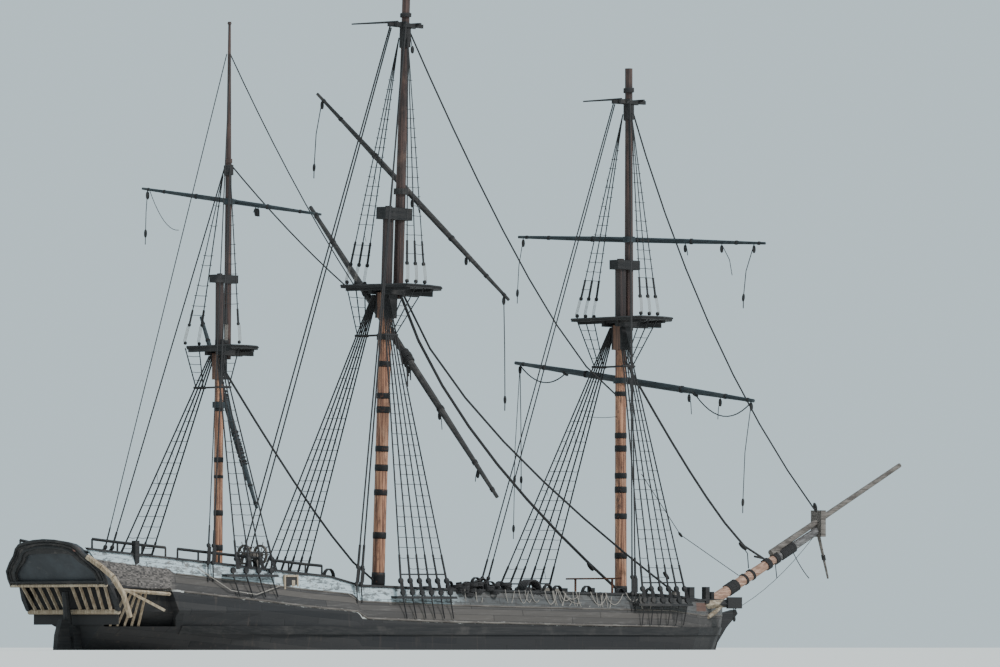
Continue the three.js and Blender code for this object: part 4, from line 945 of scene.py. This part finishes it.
def topmast_shrouds(rig, eyes, mast, side, ends, settings, dice):
    """One side's topmast shrouds, with the futtock shrouds that hold the rim of the top down."""
    rows = topmast_gang(mast, side)
    size = GANGS[mast].eye
    futtocks = []
    for i, (low, high, head) in enumerate(rows):
        rig["shrouds"].add([high, head], settings.shroud_radius * 0.75)
        rig["shrouds"].add([high, high.lerp(head, UPPER_SERVED)], settings.shroud_radius * SERVED)
        for eye in (low, high):
            add_eye(eyes, eye, side, size * 0.7, size * 0.9)
        lanyards(rig["pale_lanyards"], low, high, side, settings.lanyard_radius * 0.6, (-0.06, 0.0, 0.06))
        foot = ends[0].lerp(ends[1], 0.1 + 0.8 * i / (len(rows) - 1))
        futtocks.append((low + DOWN * 0.2, foot))
        rig["shrouds"].add(futtocks[-1], settings.shroud_radius * 0.8)
    for last, here in zip(futtocks, futtocks[1:]):
        for t in (0.2, 0.4, 0.6, 0.8):
            rig["ratlines"].hang(last[0].lerp(last[1], t), here[0].lerp(here[1], t), 0.02,
                                 settings.ratline_radius, 2)
    low_z, high_z = rows[0][1].z, rows[0][2].z
    rungs(rig["ratlines"], rows, low_z + 0.4, low_z + (high_z - low_z) * 0.82, settings.ratline_step * 0.95,
          settings, dice, 0.09)


def build_shrouds(settings):
    dice = random.Random(settings.seed)
    names = ("shrouds", "ratlines", "lanyards", "pale_lanyards", "futtock_staves")
    rig = {name: Strands() for name in names}
    eyes = Fittings()
    for mast in MASTS:
        crossings = {}
        for side in SIDES:
            crossings[side] = lower_shrouds(rig, eyes, mast, side, settings, dice)
            topmast_shrouds(rig, eyes, mast, side, crossings[side], settings, dice)
        # catharpins, which draw the two sides together
        for share, port_share in ((0, 0), (1, 1), (0.5, 0.3)):
            near, far = (crossings[side][0].lerp(crossings[side][1], t)
                         for side, t in ((STARBOARD, share), (PORT, port_share)))
            rig["lanyards"].add([near, far], 0.025)
    spin("shrouds", rig["shrouds"])
    spin("ratlines", rig["ratlines"], sides=4)
    spin("lanyards", rig["lanyards"], sides=4)
    spin("pale_lanyards", rig["pale_lanyards"], "worn_rope", sides=4)
    spin("futtock_staves", rig["futtock_staves"], sides=8)
    repeat("deadeyes", eyes, deadeye_shape)


def build_backstays(settings):
    ropes, eyes, thin = Strands(), Fittings(), Strands()
    for mast, aft, out, z, port_x, starboard_x, foot_z, radius in BACKSTAYS:
        for side in SIDES:
            foot_x = port_x if side == PORT else starboard_x
            low = side_at(foot_x, foot_z, side, 0.14)
            low.z = foot_z + 0.25
            head = on_mast(mast, MASTS[mast].gap - aft, side * out, z)
            high = low + (head - low).normalized() * BACKSTAY_EYES_APART
            ropes.add([high, head], radius)
            ropes.add([high, high.lerp(head, 0.04)], radius * 1.6)
            ropes.add([low, side_at(foot_x, foot_z - 0.5, side, 0.03)], 0.028)
            for eye in (low, high):
                add_eye(eyes, eye, side, 0.09, 0.11)
            lanyards(thin, low, high, side, settings.lanyard_radius)
    spin("backstays", ropes)
    spin("backstay_lanyards", thin, sides=4)
    repeat("backstay_deadeyes", eyes, deadeye_shape)


def build_hoops():
    hoops = Fittings()
    for mast, rows in HOOPS.items():
        for z, deep in rows:
            place = on_mast(mast, 0, 0, z)
            radius = spar_radius(mast, True, z) + 0.006
            hoops.add(place, on_mast(mast, 0, 0, z + 1) - place, (radius, radius, deep))
    repeat("mast_hoops", hoops, hoop_shape, "black_iron")
    lashings = Strands()
    for x0, x1, radius, turns in SPRIT_LASHINGS:
        lashings.wrap(on_sprit(x0), on_sprit(x1), radius, turns, 0.035)
    # on the dolphin striker
    lashings.wrap((26.49, 0, 4.12), (26.55, 0, 3.9), 0.075, 5, 0.025)
    for mast, low, high in SEIZINGS:
        row = MASTS[mast]
        a, b = (on_mast(mast, row.gap, 0, row.trees - drop) for drop in (low, high))
        lashings.wrap(a, b, row.topmast_head + 0.045, max(3, round((low - high) * 20)), 0.04)
    spin("bowsprit_lashings", lashings)


def hang_pendants(name, ropes, blocks):
    """The ends that hang from a yard, with a block under the yard and at the end of the longer ones."""
    for share, across, down, radius in PENDANTS[name]:
        top = on_yard(name, share, yard_radius(name, share) * 0.9)
        end = on_yard(name, share, down) + VIEW_RIGHT * across
        bend = top.lerp(end, 0.5) + VIEW_RIGHT * across * 0.25
        ropes.add([top, top.lerp(bend, 0.5), bend, end], radius)
        if down > BLOCK_ON_THE_WAY:
            blocks.add(bend.lerp(end, 0.4), end - bend, PENDANT_BLOCK)
        if down > BLOCK_AT_END:
            blocks.add(end, end - bend, PENDANT_BLOCK)
            ropes.add([end, end - Vector((0.03, 0.02, 0.45))], radius)
        blocks.add(top + DOWN * 0.2, (0, 0, 1), PENDANT_BLOCK)


def build_yard_gear():
    for name in YARDS:
        ropes, blocks = Strands(), Fittings()
        hang_pendants(name, ropes, blocks)
        for low, high, sag, radius, block in BIGHTS.get(name, ()):
            start, end, at = (on_yard(name, share, yard_radius(name, share) * 0.95)
                              for share in (low, high, block))
            ropes.hang(start, end, sag, radius, 12)
            blocks.add(at, (0.8, 0, -0.4), BIGHT_BLOCK)
        if name == "mizzen_topsail_yard":
            # a loose rope that curves in from the end
            ropes.hang(on_yard(name, 0.04), on_yard(name, 0.04, 1.65) + VIEW_RIGHT * 1.2, 0.45, 0.016, 10)
        for share in LASHING_SHARES:
            radius = yard_radius(name, share) + 0.004
            ropes.wrap(on_yard(name, share), on_yard(name, share + 0.01), radius, 3, 0.014)
        for low, high, radius, turns, thick in YARD_WRAPS.get(name, ()):
            ropes.wrap(on_yard(name, low), on_yard(name, high), radius, turns, thick)
        spin(name + "_ropes", ropes, body=name)
        repeat(name + "_blocks", blocks, block_shape, body=name)


def stay_gear():
    """Falls, ends, hearts and blocks of the stays, at the bow and under the main topmast's trees."""
    ropes, blocks = Strands(), Fittings()
    for chain, radius in BOW_ROPES:
        ropes.add(chain, radius)
    for row in SLACK_ROPES:
        ropes.hang(*row)
    for row in STAY_BLOCKS:
        blocks.add(*row)
    block_at = on_mast("main", 0.8, -0.3, 24.7)
    ropes.add([on_mast("main", 0.75, -0.15, 25.5), block_at], 0.018)
    blocks.add(block_at, (0, 0, 1), (0.09, 0.07, 0.16))
    for side in SIDES:
        tip = Vector(CATHEAD_TIP)
        tip.y *= side
        for shift in (-0.05, 0.05):
            a = tip + Vector((shift, 0, 0))
            ropes.add([a, a + DOWN * 0.45], 0.02)
        blocks.add(tip + DOWN * 0.5, (0, 0, 1), (0.08, 0.06, 0.12))
    return ropes, blocks


def rail_ropes(settings):
    """Coils by the masts and on the rails, and the heaps and falls on the starboard side."""
    coils, heaps, falls = Strands(), Strands(), Strands()
    dice = random.Random(settings.seed + 5)
    for x in RAIL_COILS:
        for side in SIDES:
            inside = under_rail(x, 0.15, side, -0.24)
            inside.z = between(RAIL_LINE, x) + 0.02
            coils.coil(inside, dice.uniform(0.2, 0.28), 5, 0.026, True, 1.3, 0.7)
    for centre, radius, turns in DECK_COILS:
        coils.coil(centre, radius, turns, 0.03, False, 0.9, 0.75)
    for low_x, high_x, count, lift in RAIL_HEAPS:
        for _ in range(count):
            x = dice.uniform(low_x, high_x)
            z = between(RAIL_LINE, x) + dice.uniform(-0.25, lift)
            place = under_rail(x, 0.15, STARBOARD, dice.uniform(-0.45, 0.02))
            place.z = z
            heaps.coil(place, dice.uniform(0.08, 0.3), 3, dice.uniform(0.016, 0.03),
                       dice.choice((False, True, True, False)), dice.uniform(0.5, 1.5), 1.1)
    arch = under_rail(ROPE_ARCH_X, 0.15, STARBOARD, 0.0)
    arch.z = between(RAIL_LINE, ROPE_ARCH_X) + 0.1
    heaps.coil(arch, 0.42, 6, 0.045, True, 1.0, 1.0)
    for _ in range(FALLS):
        x, length = dice.uniform(0.8, 11.0), dice.uniform(0.25, 1.1)
        a, b = (under_rail(place, 0.1, STARBOARD, 0.09) for place in (x, x + length))
        a.z, b.z = a.z + 0.2, b.z + dice.uniform(-0.4, 0.2)
        falls.hang(a, b, dice.uniform(0.2, 0.75), dice.uniform(0.012, 0.022), 10)
    falls.add([side_at(x, z, STARBOARD, 0.12) for x, z in QUARTER_ROPE], 0.02)
    return coils, heaps, falls


def build_loose_ropes(settings):
    ropes, blocks = stay_gear()
    coils, heaps, falls = rail_ropes(settings)
    spin("loose_ropes", ropes)
    spin("rope_heaps", heaps)
    spin("ropes_over_the_side", falls, "worn_rope")
    spin("rope_coils", coils)
    repeat("stay_blocks", blocks, block_shape)


# Timber details


def batten(side, depth, first, last=18.6):
    """A line along the hull's side at a depth under the rail."""
    chain = []
    x = first
    while x <= last:
        chain.append(under_rail(x, depth, side, 0.01))
        x += 0.5
    return chain


def build_side_details():
    battens = Strands()
    for side in SIDES:
        battens.add(batten(side, BATTEN_DEPTH, BATTEN_START_X), 0.03)
        battens.add(batten(side, LINE_DEPTH, LINE_START_X), 0.04)
    spin("side_battens", battens, "grey_timber", sides=4)
    y = side_at(GUN_PORT_X, GUN_PORT_Z, STARBOARD).y
    add_boxes("gun_port", [((GUN_PORT_X, y - 0.005, GUN_PORT_Z), (0.6, 0.05, 0.5))], "tarred_rope")
    rows = [((GUN_PORT_X + dx, y - 0.01, GUN_PORT_Z + dz), size) for dx, dz, size in GUN_PORT_FRAME]
    add_boxes("gun_port_frame", rows, "bare_timber")


def build_stern():
    dark, sill, beads = Strands(), Strands(), Strands()
    for strands, share, radius in ((dark, 0.985, 0.06), (beads, 0.93, 0.022), (beads, 0.86, 0.025),
                                   (dark, 0.84, 0.05)):
        half = [(y * share, STERN_FOOT_Z + (z - STERN_FOOT_Z) * share) for y, z in STERN_HALF]
        outline = [(-y, z) for y, z in half] + half[-2::-1]
        strands.add([on_stern(y, z, 0.02) for y, z in outline], radius)
    sill.add([on_stern(y, 2.53, 0.02) for y in (-2.9, 2.9)], 0.06)
    beads.add([on_stern(y, 2.68, 0.02) for y in (-2.85, 2.85)], 0.045)
    spin("stern_mouldings", dark, "dark_timber", sides=8)
    spin("stern_beads", beads, "dark_timber", sides=8)
    spin("stern_sill", sill, "bare_timber", sides=8)
    # painted shade: a near-black plate across the open counter that stands in for the shade inside it
    add_boxes("counter_lining", [COUNTER_SHADE_PLATE], "tarred_rope")


def build_deck_details():
    """A crossbar at the foremast, bitts at the main mast and the cover of the hatch."""
    bar = [((CROSSBAR_X, 0, 3.0), (0.07, 3.3, 0.07))]
    bar += [((CROSSBAR_X, y, 2.22), (0.07, 0.07, 1.52)) for y in (-1.1, 1.1)]
    add_boxes("crossbar", bar, "rusty_iron")
    rows = []
    for x, wide, z in BITTS:
        rows.append(((x, 0, z), (0.2, wide, 0.16)))
        for y in (-wide * 0.36, wide * 0.36):
            rows.append(((x, y, (WAIST_Z + z) / 2), (0.2, 0.2, z - WAIST_Z)))
    rows.append(HATCH_COVER)
    add_boxes("bitts_and_hatch_cover", rows, "grey_timber")


# Stage


def build_stage(settings):
    def disc(bm):
        bmesh.ops.create_circle(bm, cap_ends=True, segments=64, radius=settings.floor_radius)

    floor = mesh_object("floor", disc)
    floor.location = FLOOR_CENTRE
    floor.data.materials.append(Paint("studio_floor").done(settings.floor_colour, 0.9))
    sun_data = bpy.data.lights.new("key", "SUN")
    sun_data.energy = settings.sun_power
    sun_data.angle = math.radians(SUN_SPREAD)
    sun = linked("key", sun_data)
    sun.rotation_euler = Vector(SUN_FROM).to_track_quat("Z", "Y").to_euler()
    world = bpy.data.worlds.new("studio")
    world.use_nodes = True
    world.node_tree.nodes["Background"].inputs["Color"].default_value = (*settings.sky_colour, 1)
    bpy.context.scene.world = world
    camera_data = bpy.data.cameras.new("camera")
    camera_data.sensor_width = 36
    camera_data.lens = settings.lens
    camera_data.clip_end = CAMERA_REACH
    camera = linked("camera", camera_data)
    camera.location = VIEW_RIGHT * CAMERA_ASIDE - VIEW_AHEAD * CAMERA_BACK - DOWN * CAMERA_UP
    aim = VIEW_AHEAD * math.cos(settings.pitch) - DOWN * math.sin(settings.pitch)
    camera.rotation_euler = aim.to_track_quat("-Z", "Y").to_euler()
    bpy.context.scene.camera = camera


# Add-on


class RiggingSettings(bpy.types.PropertyGroup):
    shroud_radius: FloatProperty(name="Shroud radius", description="Half the thickness of a lower shroud",
                                 default=0.032, unit="LENGTH")
    ratline_radius: FloatProperty(name="Ratline radius", description="Half the thickness of a ratline",
                                  default=0.012, unit="LENGTH")
    lanyard_radius: FloatProperty(name="Lanyard radius", description="Half the thickness of a lanyard",
                                  default=0.018, unit="LENGTH")
    ratline_step: FloatProperty(name="Ratline step", description="Height between two ratlines",
                                default=0.42, unit="LENGTH")
    missing: FloatProperty(name="Missing share", description="Share of the ratlines that have gone",
                           default=0.16, subtype="FACTOR")
    seed: IntProperty(name="Seed", description="Start of the random choices", default=7)


class TimberSettings(bpy.types.PropertyGroup):
    plank_width: FloatProperty(name="Plank width", description="Height of a strake of the side",
                               default=0.24, unit="LENGTH")
    plank_length: FloatProperty(name="Plank length", description="Length of a plank of the side",
                                default=4.5, unit="LENGTH")
    peel: FloatProperty(name="Peel", description="How much of the band's paint has come off",
                        default=0.75, subtype="FACTOR")
    band_colour: FloatVectorProperty(name="Band", description="Pale paint under the rail",
                                     default=(0.47, 0.55, 0.58), subtype="COLOR")
    black_colour: FloatVectorProperty(name="Black", description="Paint of the lower side",
                                      default=(0.012, 0.012, 0.014), subtype="COLOR")
    mast_colour: FloatVectorProperty(name="Masts", description="Bright wood of the lower masts",
                                     default=(0.6, 0.3, 0.175), subtype="COLOR")


class StageSettings(bpy.types.PropertyGroup):
    floor_radius: FloatProperty(name="Floor radius", description="Radius of the floor",
                                default=450.0, unit="LENGTH")
    floor_colour: FloatVectorProperty(name="Floor", description="Colour of the floor",
                                      default=(0.8, 0.79, 0.76), subtype="COLOR")
    sky_colour: FloatVectorProperty(name="Sky", description="Colour of the light from all round",
                                    default=(0.62, 0.76, 0.82), subtype="COLOR")
    sun_power: FloatProperty(name="Sun power", description="Strength of the key light", default=2.6)
    lens: FloatProperty(name="Lens", description="Focal length in millimetres", default=263.5)
    pitch: FloatProperty(name="Pitch", description="How far the camera looks up",
                         default=0.04281, subtype="ANGLE")


class SHIP_OT_paint(bpy.types.Operator):
    """Gives every node of the frame its weathered material"""

    bl_idname = "ship.paint"
    bl_label = "Paint the frame"

    def execute(self, context):
        for name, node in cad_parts.items():
            node.data.materials.clear()
            node.data.materials.append(material_for(name))
        return {"FINISHED"}


class SHIP_OT_shrouds(bpy.types.Operator):
    """Sets up the shrouds with their ratlines and deadeyes"""

    bl_idname = "ship.shrouds"
    bl_label = "Shrouds and ratlines"

    def execute(self, context):
        build_shrouds(context.scene.ship_rigging)
        return {"FINISHED"}


class SHIP_OT_backstays(bpy.types.Operator):
    """Sets up the backstays of the topmasts"""

    bl_idname = "ship.backstays"
    bl_label = "Backstays"

    def execute(self, context):
        build_backstays(context.scene.ship_rigging)
        return {"FINISHED"}


class SHIP_OT_hoops(bpy.types.Operator):
    """Puts the hoops on the masts and the lashings on the bowsprit"""

    bl_idname = "ship.hoops"
    bl_label = "Hoops and lashings"

    def execute(self, context):
        build_hoops()
        return {"FINISHED"}


class SHIP_OT_yard_gear(bpy.types.Operator):
    """Hangs the ropes and blocks from the yards"""

    bl_idname = "ship.yard_gear"
    bl_label = "Gear of the yards"

    def execute(self, context):
        build_yard_gear()
        return {"FINISHED"}


class SHIP_OT_loose_ropes(bpy.types.Operator):
    """Adds the loose ropes, hearts, coils and heaps"""

    bl_idname = "ship.loose_ropes"
    bl_label = "Loose ropes"

    def execute(self, context):
        build_loose_ropes(context.scene.ship_rigging)
        return {"FINISHED"}


class SHIP_OT_timber(bpy.types.Operator):
    """Adds the battens, the stern's mouldings and the fittings of the deck"""

    bl_idname = "ship.timber"
    bl_label = "Timber details"

    def execute(self, context):
        build_side_details()
        build_stern()
        build_deck_details()
        return {"FINISHED"}


class SHIP_OT_stage(bpy.types.Operator):
    """Sets the floor, the light and the camera"""

    bl_idname = "ship.stage"
    bl_label = "Studio"

    def execute(self, context):
        build_stage(context.scene.ship_stage)
        return {"FINISHED"}


STEPS = (SHIP_OT_paint, SHIP_OT_shrouds, SHIP_OT_backstays, SHIP_OT_hoops, SHIP_OT_yard_gear,
         SHIP_OT_loose_ropes, SHIP_OT_timber, SHIP_OT_stage)
SETTINGS = {"ship_rigging": RiggingSettings, "ship_timber": TimberSettings, "ship_stage": StageSettings}


class SHIP_PT_panel(bpy.types.Panel):
    """Buttons and settings of the ship"""

    bl_label = "Tall ship"
    bl_idname = "SHIP_PT_panel"
    bl_space_type = "VIEW_3D"
    bl_region_type = "UI"
    bl_category = "Tall ship"

    def draw(self, context):
        layout = self.layout
        for group in SETTINGS:
            settings = getattr(context.scene, group)
            for name in settings.__annotations__:
                layout.prop(settings, name)
        for step in STEPS:
            layout.operator(step.bl_idname)


CLASSES = (*SETTINGS.values(), *STEPS, SHIP_PT_panel)


def register():
    for cls in CLASSES:
        bpy.utils.register_class(cls)
    for name, group in SETTINGS.items():
        setattr(bpy.types.Scene, name, PointerProperty(type=group))


def unregister():
    for name in SETTINGS:
        delattr(bpy.types.Scene, name)
    for cls in reversed(CLASSES):
        bpy.utils.unregister_class(cls)


def main():
    register()
    bpy.ops.ship.paint()
    bpy.ops.ship.shrouds()
    bpy.ops.ship.backstays()
    bpy.ops.ship.hoops()
    bpy.ops.ship.yard_gear()
    bpy.ops.ship.loose_ropes()
    bpy.ops.ship.timber()
    bpy.ops.ship.stage()
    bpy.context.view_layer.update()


if __name__ == "__main__":
    main()
